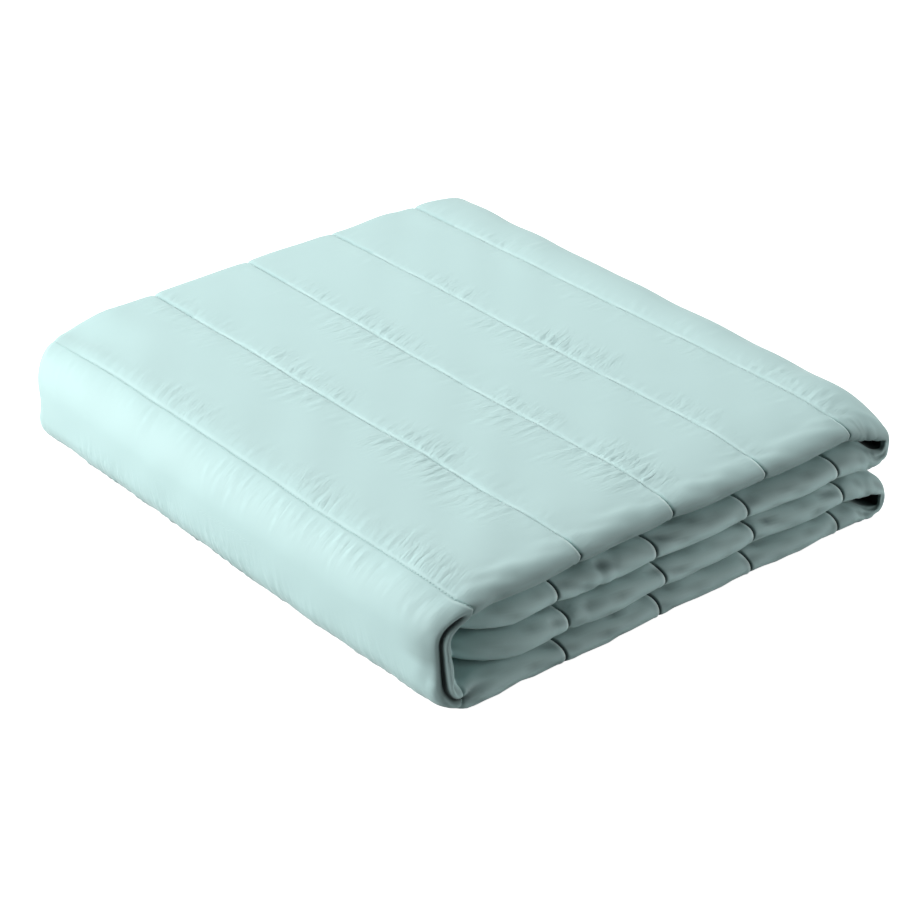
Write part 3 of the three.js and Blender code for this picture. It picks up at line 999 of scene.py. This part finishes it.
@dataclass(frozen=True)
class Shade:
    """Painted shade, which darkens the cloth's colour where shade falls: how dark and where in the folds'
    gaps, the grooves, creases and noses and at the foot of the stack.
    """

    gap_by_fold: Ramp = Ramp(0.024, 0.022)
    gap_back: Ramp = Ramp(0.010, 0.012)
    groove_offset: float = 0.0004
    groove_width: float = 0.0017
    groove_under: Ramp = Ramp(0.42, 0.25)
    line: float = 0.34
    line_width: float = 0.0006
    crease: float = 1.35
    cavity: Pair = (0.06, 0.21)  # here and below: on the top layer, on the others
    nose: Pair = (0.44, 0.18)
    second_nose: float = 0.30
    nose_under: tuple[Ramp, Ramp] = (Ramp(0.30, 0.60), Ramp(0.40, 0.35))
    top_nose_fall: float = 0.8
    nose_back: tuple[Ramp, Ramp] = (Ramp(0.004, 0.052), Ramp(0.004, 0.030))
    out_of_wrap: Ramp = Ramp(-0.21, 0.10)
    foot: Pair = (0.25, 0.60)
    foot_under: Ramp = Ramp(0.10, 0.15)
    foot_reach: float = 0.020
    wrap: float = 0.18
    wrap_taper: float = 0.060
    wrap_back: Ramp = Ramp(0.0, 0.034)
    mouth: float = 0.6
    mouth_by_fold: Ramp = Ramp(0.030, 0.035)
    mouth_inside: Ramp = Ramp(0.45, 0.40)

    def values(self, patch: Patch, crease: Array, cavity: Array, height: Array) -> Array:
        """Return the painted shade of each point, from 0 to 1, by which its colour is darkened.

        Args:
            patch: the points' stations and ring.
            crease: the crease beside the wrap's rim.
            cavity: the depth of the noses' dents, as a share of their greatest.
            height: the height of each point over the floor.
        """
        strip, station, place, upper = patch.strip, patch.station, patch.place, patch.upper
        top, by_nose, inside = patch.top, patch.by_nose, patch.side < 0.0
        by_fold = np.minimum(np.abs(station - strip.upper_fold), np.abs(station - strip.lower_fold))
        gap = self.gap_by_fold.fall(by_fold) * self.gap_back.rise(place) * inside
        groove = by_nose * bell(patch.rightward - self.groove_offset, self.groove_width) * patch.pull
        groove = groove * np.where(top, self.groove_under.fall(upper), 1.0)
        line = self.line * (1.0 - by_nose) * bell(patch.from_seam - self.groove_offset, self.line_width)
        line = line * patch.outside * patch.pull**2
        under = [ramp.rise(upper) for ramp in self.nose_under]
        under = np.where(top, 1.0 - self.top_nose_fall * under[0], under[1])
        inward = self.out_of_wrap.rise(strip.line.at(patch.distance)[:, None, 0])
        nose = np.where(station < strip.upper_fold, self.second_nose, self.nose[1]) * inward
        nose = np.where(top, self.nose[0], nose) * under + np.where(top, *self.cavity) * cavity
        nose = nose * np.where(top, *(ramp.fall(place) for ramp in self.nose_back))
        foot = np.where(top, *self.foot) * self.foot_under.fall(upper)
        foot = foot * ((place < self.foot_reach) | (height < self.foot_reach))
        wrap = near(station, strip.wrapped, self.wrap_taper) * patch.outside * self.wrap_back.fall(place)
        mouth = self.mouth * self.mouth_by_fold.fall(by_fold) * self.mouth_inside.rise(-patch.side) * by_nose
        shades = [gap, groove, line, self.crease * crease, foot, nose, mouth, self.wrap * wrap]
        return np.clip(np.maximum.reduce(shades), 0.0, 1.0) * patch.outer


@dataclass
class Bedspread:
    """The bedspread's cloth: one closed skin over the folded strip, with its seams, puckers and waves."""

    strip: Strip
    groove: Groove = Groove()
    lip: Lip = Lip()
    rim: Rim = Rim()
    slope: Slope = Slope()
    shade: Shade = Shade()
    density: Density = Density()
    seen_ring: tuple[int, int] = (212, 46)  # here and below: rows outside and steps round the nose
    hidden_ring: tuple[int, int] = (8, 20)
    waves: Waves = Waves(7, 0.0005, (40.0, 110.0), (35.0, 110.0))
    hollows: Waves = Waves(10, 0.0009, (80.0, 210.0), (160.0, 380.0))
    hollows_by_nose: Ramp = Ramp(0.004, 0.040)
    hollows_on_top: float = 0.6
    hollows_below: Pair = (0.1, 1.5)
    swell: float = 0.0022
    bottom_swell: float = 0.3
    pucker_seed: int = 8
    pucker_strength: float = 3.9
    faint_gather: float = 0.22
    gather_start: Ramp = Ramp(0.001, 0.004)
    gather_end: Ramp = Ramp(0.008, 0.020)

    def build(self) -> Object:
        """Build the cloth as one mesh object."""
        stations = self.density.stations(self.strip)
        seen = (stations >= self.density.seen[0]) & (stations <= self.density.seen[1])
        counts = {True: self.seen_ring, False: self.hidden_ring}
        rings = {part: Ring(self.strip.ends, *count) for part, count in counts.items()}
        skin = Skin()
        for group in np.split(np.arange(len(stations)), np.flatnonzero(np.diff(seen.astype(int))) + 1):
            patch = Patch(self.strip, stations[group], rings[bool(seen[group[0]])])
            placed = self.strip.place(patch.distance, patch.ring, self.relief(patch))
            cavity = np.maximum(0.0, -self._hollows(patch) / self.hollows.height)
            crease = self.rim.parts(patch)[1]
            fields = {
                "gather": self._gather(patch),
                # painted shade: shadow darkens the colour where the gaps, grooves, creases and noses lie in
                # shade
                "shadow": self.shade.values(patch, crease, cavity, placed[..., 2]),
                # painted highlight: edge makes the seams' lips and a line beside the seams paler
                "edge": self.lip.painted_highlight(patch),
            }
            skin.add(placed, patch, fields)
        skin.close()
        return skin.to_object("bedspread_cloth", self.strip)

    def relief(self, patch: Patch) -> Array:
        """Return how far each point stands out of the plain surface, 0 on the faces between plies."""
        strip, upper = self.strip, patch.upper
        full = strip.fullness(patch.station)
        bottom = (patch.station > strip.heel) & (patch.station < strip.lower_fold)
        swell = np.where(bottom, self.bottom_swell * self.swell, self.swell) * strip.swell(patch.station)
        softness = np.where(patch.top, self.hollows_on_top * upper, mix(*self.hollows_below, upper))
        relief = self.groove.relief(patch) + self.waves.relief(patch) * full
        relief = relief + self.lip.height * self.lip.share(patch)
        relief = relief + sum(dent.relief(patch) for dent in DENTS)
        relief = relief + swell * patch.by_nose * patch.facing**2
        relief = relief + self._hollows(patch) * full * softness
        relief = relief + self._puckers(patch) * patch.outside * self.pucker_strength
        return (relief + self.rim.relief(patch) + self.slope.relief(patch)) * patch.outer

    def _hollows(self, patch: Patch) -> Array:
        """Return the soft hollows of the noses and of the strip's first few centimetres."""
        return self.hollows.relief(patch) * self.hollows_by_nose.fall(patch.place)

    def _gather(self, patch: Patch) -> Array:
        """Return how strongly the cloth is gathered, from 0 to 1, for the finest creases."""
        reach = np.abs(patch.from_seam)
        total = self.faint_gather * (self.gather_start.rise(reach) * self.gather_end.fall(reach))
        for cluster in CLUSTERS:
            total = np.maximum(total, cluster.gather(patch))
        return total * patch.outside

    def _puckers(self, patch: Patch) -> Array:
        """Return the short wrinkles that fan out from the seams."""
        draw, total = np.random.default_rng(self.pucker_seed), patch.blank()
        for cluster in (*CLUSTERS, *FAINT_CLUSTERS):
            cluster.add_wrinkles(total, patch, draw)
        return total


def show(name: str, data: bpy.types.ID) -> Object:
    """Return a new object of the scene with the given data."""
    thing = bpy.data.objects.new(name, data)
    bpy.context.scene.collection.objects.link(thing)
    return thing


class Skin:
    """Collects the rings of a closed skin and joins them, also where their point counts differ."""

    def __init__(self) -> None:
        """Start an empty skin."""
        self.points: list[Array] = []
        self.faces: list[Array] = []
        self.coordinates: list[Array] = []
        self.fields: dict[str, list[Array]] = {}
        self.total = 0
        self.last: tuple[Array, Array, float, Ring] | None = None

    def add(self, points: Array, patch: Patch, fields: dict[str, Array]) -> None:
        """Add stations that share one ring.

        Args:
            points: the points by station and ring point.
            patch: their stations and ring.
            fields: named values of each point, which the material reads.
        """
        stations, size, _ = points.shape
        ids = self.total + np.arange(stations * size).reshape(stations, size)
        if self.last is None:
            self._cap(ids[0], points[0], patch.distance[0], patch.ring, False)
        else:
            self._zip(ids[0], patch.distance[0], patch.ring)
        following = np.roll(ids, -1, axis=1)
        quads = np.stack([ids[:-1], following[:-1], following[1:], ids[1:]], axis=-1)
        rows, here, there = (
            np.broadcast_to(values, (stations, size))
            for values in (patch.station, patch.arc, np.append(patch.arc[1:], patch.ring.length))
        )
        corners = (rows[:-1], here[:-1]), (rows[:-1], there[:-1]), (rows[1:], there[1:]), (rows[1:], here[1:])
        uv = np.stack([np.stack(corner, axis=-1) for corner in corners], axis=-2)
        self.faces.extend(quads.reshape(-1, 4))
        self.coordinates.extend(uv.reshape(-1, 4, 2))
        self.points.append(points.reshape(-1, 3))
        for name, values in fields.items():
            self.fields.setdefault(name, []).append(values.ravel())
        self.total += stations * size
        self.last = (ids[-1], points[-1], patch.distance[-1], patch.ring)

    def _triangle(self, corners: list[tuple[int, float, float]]) -> None:
        """Add a triangle, each corner given as its point, its station and its place round the outline."""
        self.faces.append(np.array([corner[0] for corner in corners]))
        self.coordinates.append(np.array([corner[1:] for corner in corners]))

    def _zip(self, ids: Array, distance: float, ring: Ring) -> None:
        """Join the last ring to one with another count of points."""
        last_ids, _, last_distance, last_ring = self.last
        a, b = (
            [(own[k % len(own)], station, arc) for k, arc in enumerate([*each.arc, each.length])]
            for own, station, each in ((last_ids, last_distance, last_ring), (ids, distance, ring))
        )
        i = j = 0
        while i < len(a) - 1 or j < len(b) - 1:
            if j == len(b) - 1 or (i < len(a) - 1 and a[i + 1][2] <= b[j + 1][2]):
                self._triangle([a[i], a[i + 1], b[j]])
                i += 1
            else:
                self._triangle([a[i], b[j + 1], b[j]])
                j += 1

    def _cap(self, ids: Array, points: Array, distance: float, ring: Ring, last: bool) -> None:
        """Close one end of the strip with triangles over its outline."""
        outline = [Vector((float(y), float(z), 0.0)) for _, y, z in points]
        for a, b, c in tessellate_polygon([outline]):
            area = (outline[b] - outline[a]).cross(outline[c] - outline[a]).z
            order = (a, b, c) if (area > 0) == last else (a, c, b)
            self._triangle([(ids[k], distance, ring.arc[k]) for k in order])

    def close(self) -> None:
        """Close the far end of the strip."""
        self._cap(*self.last, True)

    def to_object(self, name: str, strip: Strip) -> Object:
        """Return the skin as an object with its cloth coordinates.

        Args:
            name: the object's name.
            strip: the strip, for the distance to the nearest seam.
        """
        mesh = bpy.data.meshes.new(name)
        points, corners = np.concatenate(self.points), np.concatenate(self.faces)
        uv = np.concatenate(self.coordinates)
        starts = np.cumsum([0, *(len(face) for face in self.faces)])[:-1]
        mesh.vertices.add(len(points))
        mesh.loops.add(len(corners))
        mesh.polygons.add(len(starts))
        mesh.vertices.foreach_set("co", points.astype(np.float32).ravel())
        mesh.loops.foreach_set("vertex_index", corners.astype(np.int32))
        mesh.polygons.foreach_set("loop_start", starts.astype(np.int32))
        mesh.uv_layers.new(name="cloth").data.foreach_set("uv", uv.astype(np.float32).ravel())
        fields = {field: ("POINT", np.concatenate(values)) for field, values in self.fields.items()}
        fields["from_seam"] = ("CORNER", strip.from_seam(uv[:, 0]))
        for field, (domain, values) in fields.items():
            attribute = mesh.attributes.new(field, "FLOAT", domain)
            attribute.data.foreach_set("value", values.astype(np.float32))
        mesh.update()
        mesh.validate()
        mesh.shade_smooth()
        return show(name, mesh)


class Wiring:
    """Adds and joins the nodes of one tree."""

    def __init__(self, tree: NodeTree) -> None:
        """Keep the tree."""
        self.tree = tree

    @classmethod
    def group(
        cls, name: str, kind: str, inputs: dict[str, object], outputs: dict[str, object]
    ) -> tuple[Wiring, bpy.types.NodeOutputs, bpy.types.NodeInputs]:
        """Start a node group.

        Args:
            name: the group's name.
            kind: Shader or Geometry.
            inputs: the kind of each input by its name, or the value at rest of one that takes a number.
            outputs: the kind of each output by its name.

        Returns:
            The group's wiring, its inputs as given inside and its outputs as sockets to fill.
        """
        tree = bpy.data.node_groups.new(name, kind + "NodeTree")
        for way, sockets in (("INPUT", inputs), ("OUTPUT", outputs)):
            for label, given in sockets.items():
                sort = given if isinstance(given, str) else "Float"
                socket = tree.interface.new_socket(label, in_out=way, socket_type="NodeSocket" + sort)
                if sort is not given:
                    socket.default_value = given
        return cls(tree), tree.nodes.new("NodeGroupInput").outputs, tree.nodes.new("NodeGroupOutput").inputs

    def node(self, kind: str, *values: object, settings: dict | None = None, **sockets: object) -> Node:
        """Add a node and fill its inputs.

        Args:
            kind: the node's type.
            values: a value or an output for each of its first inputs.
            settings: the node's own properties by name.
            sockets: a value or an output for each named input, with _ for a space.

        Returns:
            The node.
        """
        node = self.tree.nodes.new(kind)
        for name, value in (settings or {}).items():
            setattr(node, name, value)
        for socket, value in zip(node.inputs, values):
            self.put(socket, value)
        for name, value in sockets.items():
            self.put(node.inputs[name.replace("_", " ")], value)
        return node

    def use(self, group: NodeTree, **sockets: object) -> bpy.types.NodeOutputs:
        """Add a node group, fill its named inputs and return its outputs."""
        return self.node("ShaderNodeGroup", settings={"node_tree": group}, **sockets).outputs

    def put(self, socket: NodeSocket, value: object) -> None:
        """Set a socket to a value, or join it to an output."""
        if isinstance(value, NodeSocket):
            self.tree.links.new(value, socket)
        else:
            socket.default_value = value

    def math(self, operation: str, *values: object) -> NodeSocket:
        """Return the output of a math node over values or outputs."""
        return self.node("ShaderNodeMath", *values, settings={"operation": operation}).outputs["Value"]

    def times(self, first: object, second: object) -> NodeSocket:
        """Return the product of two values or outputs."""
        return self.math("MULTIPLY", first, second)

    def point(self, x: object, y: object, z: object) -> NodeSocket:
        """Return a vector output from three values or outputs."""
        return self.node("ShaderNodeCombineXYZ", x, y, z).outputs["Vector"]

    def blend(self, share: object, start: object, end: object) -> NodeSocket:
        """Return the colour that lies a share of the way from start to end."""
        node = self.node("ShaderNodeMix", settings={"data_type": "RGBA"})
        sockets = {(socket.name, socket.type): socket for socket in node.inputs}
        for key, value in ((("Factor", "VALUE"), share), (("A", "RGBA"), start), (("B", "RGBA"), end)):
            self.put(sockets[key], value)
        return next(socket for socket in node.outputs if socket.type == "RGBA")

    def noise(self, vector: object, scale: float, detail: float) -> NodeSocket:
        """Return the value of a noise texture."""
        return self.node("ShaderNodeTexNoise", Vector=vector, Scale=scale, Detail=detail).outputs["Fac"]


@dataclass
class Stitching:
    """The sewing thread: short stitches that lie in the grooves of the seams, laid by Geometry Nodes."""

    pitch: float = 0.0034
    length: float = 0.0027
    radius: float = 0.00032
    lift: float = 0.0005
    beyond_nose: float = 0.012
    to_back: float = 1.5 * Ring.STRAIGHT + 0.035
    ring: tuple[int, int] = (230, 46)  # rows outside and steps round the nose

    def build(self, bedspread: Bedspread, thread: Material) -> Object:
        """Return the stitches along all seams of the cloth as one plain mesh object."""
        line = self._seam_lines(bedspread)
        modifier = line.modifiers.new("stitching", "NODES")
        tree = modifier.node_group = self._tree()
        given = {"Pitch": self.pitch, "Length": self.length, "Radius": self.radius, "Thread": thread}
        for item in tree.interface.items_tree:
            if item.in_out == "INPUT" and item.name in given:
                modifier[item.identifier] = given[item.name]
        evaluated = line.evaluated_get(bpy.context.evaluated_depsgraph_get())
        mesh = bpy.data.meshes.new_from_object(evaluated)
        bpy.data.objects.remove(line)
        mesh.name = "bedspread_stitches"
        mesh.shade_smooth()
        return show("bedspread_stitches", mesh)

    def _seam_lines(self, bedspread: Bedspread) -> Object:
        """Return the seams' lines in the bottoms of their grooves, as edges."""
        strip = bedspread.strip
        ring = Ring(strip.ends, *self.ring)
        past_nose = ring.arc - (Ring.STRAIGHT + Ring.NOSE_ARC / 2)
        reach = Ring.NOSE_ARC / 2 + self.beyond_nose
        points: list[list[float]] = []
        edges: list[tuple[int, int]] = []
        for number, seam in enumerate(strip.seams):
            patch = Patch(strip, np.array([seam]), ring)
            placed = strip.place(patch.distance, ring, bedspread.relief(patch) + self.lift)[0]
            far = self.to_back if number in TOP_SEAMS else reach
            chosen = placed[(past_nose > -reach) & (past_nose < far)]
            edges += [(len(points) + i, len(points) + i + 1) for i in range(len(chosen) - 1)]
            points += chosen.tolist()
        mesh = bpy.data.meshes.new("seam_lines")
        mesh.from_pydata(points, edges, [])
        return show("seam_lines", mesh)

    @staticmethod
    def _tree() -> NodeTree:
        """Return the node tree that lays stitches along edges."""
        sizes = dict.fromkeys(("Pitch", "Length", "Radius"), "Float")
        inputs = {"Geometry": "Geometry", **sizes, "Thread": "Material"}
        wires, given, result = Wiring.group("stitching", "Geometry", inputs, {"Geometry": "Geometry"})
        curve = wires.node("GeometryNodeMeshToCurve", Mesh=given["Geometry"]).outputs["Curve"]
        length = {"mode": "LENGTH"}
        spots = wires.node("GeometryNodeResampleCurve", settings=length, Curve=curve, Length=given["Pitch"])
        size = wires.point(given["Radius"], given["Radius"], wires.times(given["Length"], 0.5))
        ball = wires.node("GeometryNodeMeshUVSphere", Segments=6, Rings=5, Radius=1.0).outputs["Mesh"]
        stitch = wires.node("GeometryNodeTransform", Geometry=ball, Scale=size).outputs["Geometry"]
        tangent = wires.node("GeometryNodeInputTangent").outputs["Tangent"]
        turned = wires.node("FunctionNodeAlignRotationToVector", settings={"axis": "Z"}, Vector=tangent)
        laid = wires.node(
            "GeometryNodeInstanceOnPoints", Points=spots.outputs["Curve"], Instance=stitch,
            Rotation=turned.outputs["Rotation"],
        ).outputs["Instances"]
        real = wires.node("GeometryNodeRealizeInstances", Geometry=laid).outputs["Geometry"]
        sewn = wires.node("GeometryNodeSetMaterial", Geometry=real, Material=given["Thread"])
        wires.put(result["Geometry"], sewn.outputs["Geometry"])
        return wires.tree


def sateen_grain() -> NodeTree:
    """Return the node group for the fine grain of woven sateen: its Height in mm and its Tone."""
    fleck_scale, yarn_share, fleck_share = 620.0, 0.6, 0.4
    inputs = {"Vector": "Vector", "Along": 900.0, "Across": 2600.0, "Depth": 0.02}
    outputs = {"Height": "Float", "Tone": "Float"}
    wires, given, result = Wiring.group("sateen_grain", "Shader", inputs, outputs)
    parts = wires.node("ShaderNodeSeparateXYZ", given["Vector"]).outputs
    along, across = wires.times(parts["X"], given["Across"]), wires.times(parts["Y"], given["Along"])
    yarns = wires.noise(wires.point(along, across, parts["Z"]), 1.0, 2.0)
    flecks = wires.noise(given["Vector"], fleck_scale, 2.0)
    both = wires.math("ADD", wires.times(yarns, yarn_share), wires.times(flecks, fleck_share))
    wires.put(result["Height"], wires.times(both, given["Depth"]))
    wires.put(result["Tone"], both)
    return wires.tree


def gathered_creases() -> NodeTree:
    """Return the node group for the finest creases beside the seams: their Height in mm."""
    least_lean, apart_by_seam, apart_by_side, tallest = 0.15, 37.0, 5.3, 0.16
    layers = ((150.0, 34.0, 0.65), (290.0, 60.0, 0.35))
    inputs = {"Place": "Vector", "From Seam": 0.0, "Gather": 0.0, "Lean": 0.29, "Depth": 0.3}
    wires, given, result = Wiring.group("gathered_creases", "Shader", inputs, {"Height": "Float"})
    times, calc = wires.times, wires.math
    parts = wires.node("ShaderNodeSeparateXYZ", given["Place"]).outputs
    beside = given["From Seam"]
    reach = calc("ABSOLUTE", beside)
    ahead = calc("LESS_THAN", beside, 0.0)
    lean = times(calc("ADD", times(ahead, 1.0 - least_lean), least_lean), given["Lean"])
    along = calc("SUBTRACT", parts["Y"], times(lean, reach))
    seam = times(calc("SUBTRACT", parts["X"], beside), apart_by_seam)
    seam = calc("ADD", seam, times(ahead, apart_by_side))
    heights = []
    for pitch, stretch, weight in layers:
        at = wires.point(times(along, pitch), times(reach, stretch), times(seam, weight))
        ridge = calc("ABSOLUTE", calc("SUBTRACT", wires.noise(at, 1.0, 1.0), 0.5))
        heights.append(times(calc("MINIMUM", ridge, tallest), weight))
    total = times(calc("ADD", *heights), given["Depth"])
    wires.put(result["Height"], times(total, given["Gather"]))
    return wires.tree


class Finish:
    """A material under construction: its wiring and its main shader."""

    def __init__(self, name: str, **sockets: object) -> None:
        """Start the material.

        Args:
            name: its name.
            sockets: a value for each named input of the main shader, with _ for a space.
        """
        self.made = bpy.data.materials.new(name)
        self.made.use_nodes = True
        self.wires = Wiring(self.made.node_tree)
        self.inputs = self.made.node_tree.nodes["Principled BSDF"].inputs
        for socket, value in sockets.items():
            self.wires.put(self.inputs[socket.replace("_", " ")], value)

    def done(self, colour: NodeSocket, height: NodeSocket) -> Material:
        """Return the material with its colour and with its height in mm as bump."""
        bump = self.wires.node("ShaderNodeBump", Strength=1.0, Distance=0.001, Height=height)
        self.wires.put(self.inputs["Base Color"], colour)
        self.wires.put(self.inputs["Normal"], bump.outputs["Normal"])
        return self.made


@dataclass(frozen=True)
class ClothFinish:
    """Smooth sateen in a pale aqua green, with its grain, with fine creases beside the seams, and with
    painted shade and a painted highlight mixed into its colour.
    """

    name: str = "aqua_sateen"
    colour: Colour = (0.475, 0.660, 0.650)
    shade: Colour = (0.445, 0.632, 0.624)
    roughness: float = 0.62
    sheen: float = 0.45
    sheen_roughness: float = 0.30
    sheen_tint: Colour = (0.9, 1.0, 0.98)
    specular: float = 0.35
    # painted shadow: the colour that the painted shade darkens towards
    shadow: Colour = (0.010, 0.024, 0.024)
    # painted highlight: the colour and strength that make the seams' lips and the lines beside the seams
    # paler
    edge: Colour = (0.76, 0.95, 0.93)
    highlight_strength: float = 0.75
    mottle_scale: float = 9.0
    mottle: float = 0.6
    crease_depth: float = 3.8
    grain_depth: float = 0.016

    def material(self, grain: NodeTree, creases: NodeTree) -> Material:
        """Return the cloth's material.

        Args:
            grain: the group for the woven grain.
            creases: the group for the fine creases.
        """
        finish = Finish(
            self.name, Roughness=self.roughness, Specular_IOR_Level=self.specular, Sheen_Weight=self.sheen,
            Sheen_Roughness=self.sheen_roughness, Sheen_Tint=(*self.sheen_tint, 1.0),
        )
        wires = finish.wires
        uv = wires.node("ShaderNodeUVMap", settings={"uv_map": "cloth"}).outputs["UV"]
        beside, gather, shadow, edge = (
            wires.node("ShaderNodeAttribute", settings={"attribute_name": name}).outputs["Fac"]
            for name in ("from_seam", "gather", "shadow", "edge")
        )
        weave = wires.use(grain, Vector=uv, Depth=self.grain_depth)
        fine = wires.use(creases, Place=uv, From_Seam=beside, Gather=gather, Depth=self.crease_depth)
        mottle = wires.times(wires.noise(uv, self.mottle_scale, 3.0), self.mottle)
        tone = wires.math("ADD", mottle, wires.times(weave["Tone"], 1.0 - self.mottle))
        colour = wires.blend(tone, (*self.colour, 1.0), (*self.shade, 1.0))
        # painted highlight along the seams' lips and in a line beside the seams
        colour = wires.blend(wires.times(edge, self.highlight_strength), colour, (*self.edge, 1.0))
        # painted shadow, darkening the colour where shade falls
        colour = wires.blend(shadow, colour, (*self.shadow, 1.0))
        return finish.done(colour, wires.math("ADD", weave["Height"], fine["Height"]))


@dataclass(frozen=True)
class ThreadFinish:
    """Spun sewing thread in the cloth's colour."""

    name: str = "aqua_thread"
    colour: Colour = (0.50, 0.69, 0.68)
    shades: Pair = (0.88, 1.06)
    roughness: float = 0.55
    sheen: float = 0.25
    grain_across: float = 5200.0
    grain_depth: float = 0.03

    def material(self, grain: NodeTree) -> Material:
        """Return the thread's material, with the cloth's grain group for its fibres."""
        finish = Finish(self.name, Roughness=self.roughness, Sheen_Weight=self.sheen)
        wires = finish.wires
        place = wires.node("ShaderNodeTexCoord").outputs["Object"]
        fibres = wires.use(grain, Vector=place, Across=self.grain_across, Depth=self.grain_depth)
        tones = wires.node("ShaderNodeValToRGB", Fac=fibres["Tone"])
        for stop, factor in zip(tones.color_ramp.elements, self.shades):
            stop.color = (*(min(1.0, part * factor) for part in self.colour), 1.0)
        return finish.done(tones.outputs["Color"], fibres["Height"])


def bearing(azimuth: float, elevation: float) -> Vector:
    """Return the direction from the stack towards a bearing right of its front and a height, in radians."""
    flat = math.cos(elevation)
    return Vector((math.sin(azimuth) * flat, -math.cos(azimuth) * flat, math.sin(elevation)))


@dataclass(frozen=True)
class Viewpoint:
    """The camera: its bearing and height over the stack, and how far off it stands."""

    azimuth: float = math.radians(-40.15)
    elevation: float = math.radians(29.90)
    distance: float = 2.064 * 1.05
    aside: float = 0.1636 * 1.05
    above: float = -0.1157 * 1.05
    focal_pixels: float = 2678.0
    picture: float = 920.0
    sensor: float = 36.0

    def place(self) -> Object:
        """Place the camera and make it the scene's own."""
        back = bearing(self.azimuth, self.elevation)
        right = Vector((math.cos(self.azimuth), math.sin(self.azimuth), 0.0))
        up = back.cross(right)
        data = bpy.data.cameras.new("camera")
        data.sensor_width = self.sensor
        data.lens = self.focal_pixels / self.picture * self.sensor
        camera = show("camera", data)
        seat = back * self.distance - right * self.aside - up * self.above
        seat -= Vector((MIDDLE_X, MIDDLE_Y, 0.0))
        camera.matrix_world = Matrix.Translation(seat) @ Matrix((right, up, back)).transposed().to_4x4()
        bpy.context.scene.camera = camera
        return camera


@dataclass(frozen=True)
class Lamp:
    """A soft round light that faces the stack: its bearing and height in degrees, and its strength."""

    name: str
    azimuth: float
    elevation: float
    watts: float
    distance: float = 2.6
    size: float = 1.6
    aim: float = 0.05

    def place(self) -> Object:
        """Place the light."""
        data = bpy.data.lights.new(self.name, "AREA")
        data.shape = "DISK"
        data.size = self.size
        data.energy = self.watts
        lamp = show(self.name, data)
        back = bearing(math.radians(self.azimuth), math.radians(self.elevation))
        lamp.location = back * self.distance + Vector((0.0, 0.0, self.aim))
        lamp.rotation_euler = back.to_track_quat("Z", "Y").to_euler()
        return lamp


@dataclass(frozen=True)
class Studio:
    """A plain white floor, a white surround and soft lights, the strongest from the left."""

    floor_size: float = 12.0
    floor_colour: float = 0.52
    floor_glow: float = 0.97
    surround: float = 1.0
    lamps: tuple[Lamp, ...] = (
        Lamp("low_key", -120.0, 12.0, 40.0), Lamp("key", -120.0, 35.0, 47.0),
        Lamp("back_light", 140.0, 62.0, 39.0), Lamp("low_back_light", 140.0, 35.0, 10.0),
        Lamp("front_fill", 30.0, 12.0, 18.5), Lamp("side_fill", 60.0, 12.0, 12.5),
    )

    def build(self) -> Object:
        """Build the floor, the surround and the lights."""
        half = self.floor_size / 2
        mesh = bpy.data.meshes.new("floor")
        corners = [(x * half, y * half, 0.0) for x, y in ((-1, -1), (1, -1), (1, 1), (-1, 1))]
        mesh.from_pydata(corners, [], [range(4)])
        floor = show("floor", mesh)
        mesh.materials.append(self._floor_finish())
        world = bpy.data.worlds.new("surround")
        world.use_nodes = True
        wires, background = Wiring(world.node_tree), world.node_tree.nodes["Background"].inputs
        wires.put(background["Color"], (self.surround,) * 3 + (1.0,))
        wires.put(background["Strength"], wires.node("ShaderNodeLightPath").outputs["Is Camera Ray"])
        bpy.context.scene.world = world
        for lamp in self.lamps:
            lamp.place()
        bpy.context.scene.view_settings.view_transform = "Standard"
        return floor

    def _floor_finish(self) -> Material:
        """Return a white floor that glows a little, so that it shows white with only a faint shadow."""
        white = bpy.data.materials.new("white_floor")
        white.use_nodes = True
        wires, nodes = Wiring(white.node_tree), white.node_tree.nodes
        nodes.remove(nodes["Principled BSDF"])
        lit = wires.node("ShaderNodeBsdfDiffuse", (self.floor_colour,) * 3 + (1.0,)).outputs["BSDF"]
        seen = wires.node("ShaderNodeLightPath").outputs["Is Camera Ray"]
        glow = wires.node("ShaderNodeEmission", Strength=wires.times(seen, self.floor_glow))
        both = wires.node("ShaderNodeAddShader", lit, glow.outputs["Emission"])
        wires.put(nodes["Material Output"].inputs["Surface"], both.outputs["Shader"])
        return white


def main() -> None:
    """Build the bedspread, its surroundings and the camera."""
    Viewpoint().place()
    Studio().build()
    bedspread = Bedspread(Strip(Fold(), Crown(), Ends(), Waver(), Hollow()))
    grain = sateen_grain()
    cloth = bedspread.build()
    cloth.data.materials.append(ClothFinish().material(grain, gathered_creases()))
    stitches = Stitching().build(bedspread, ThreadFinish().material(grain))
    for piece in (cloth, stitches):
        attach(piece, BODY)
        triangles = sum(len(face.vertices) - 2 for face in piece.data.polygons)
        LOG.info("%s: %d triangles", piece.name, triangles)
    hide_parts(NODE)


if __name__ == "__main__":
    main()
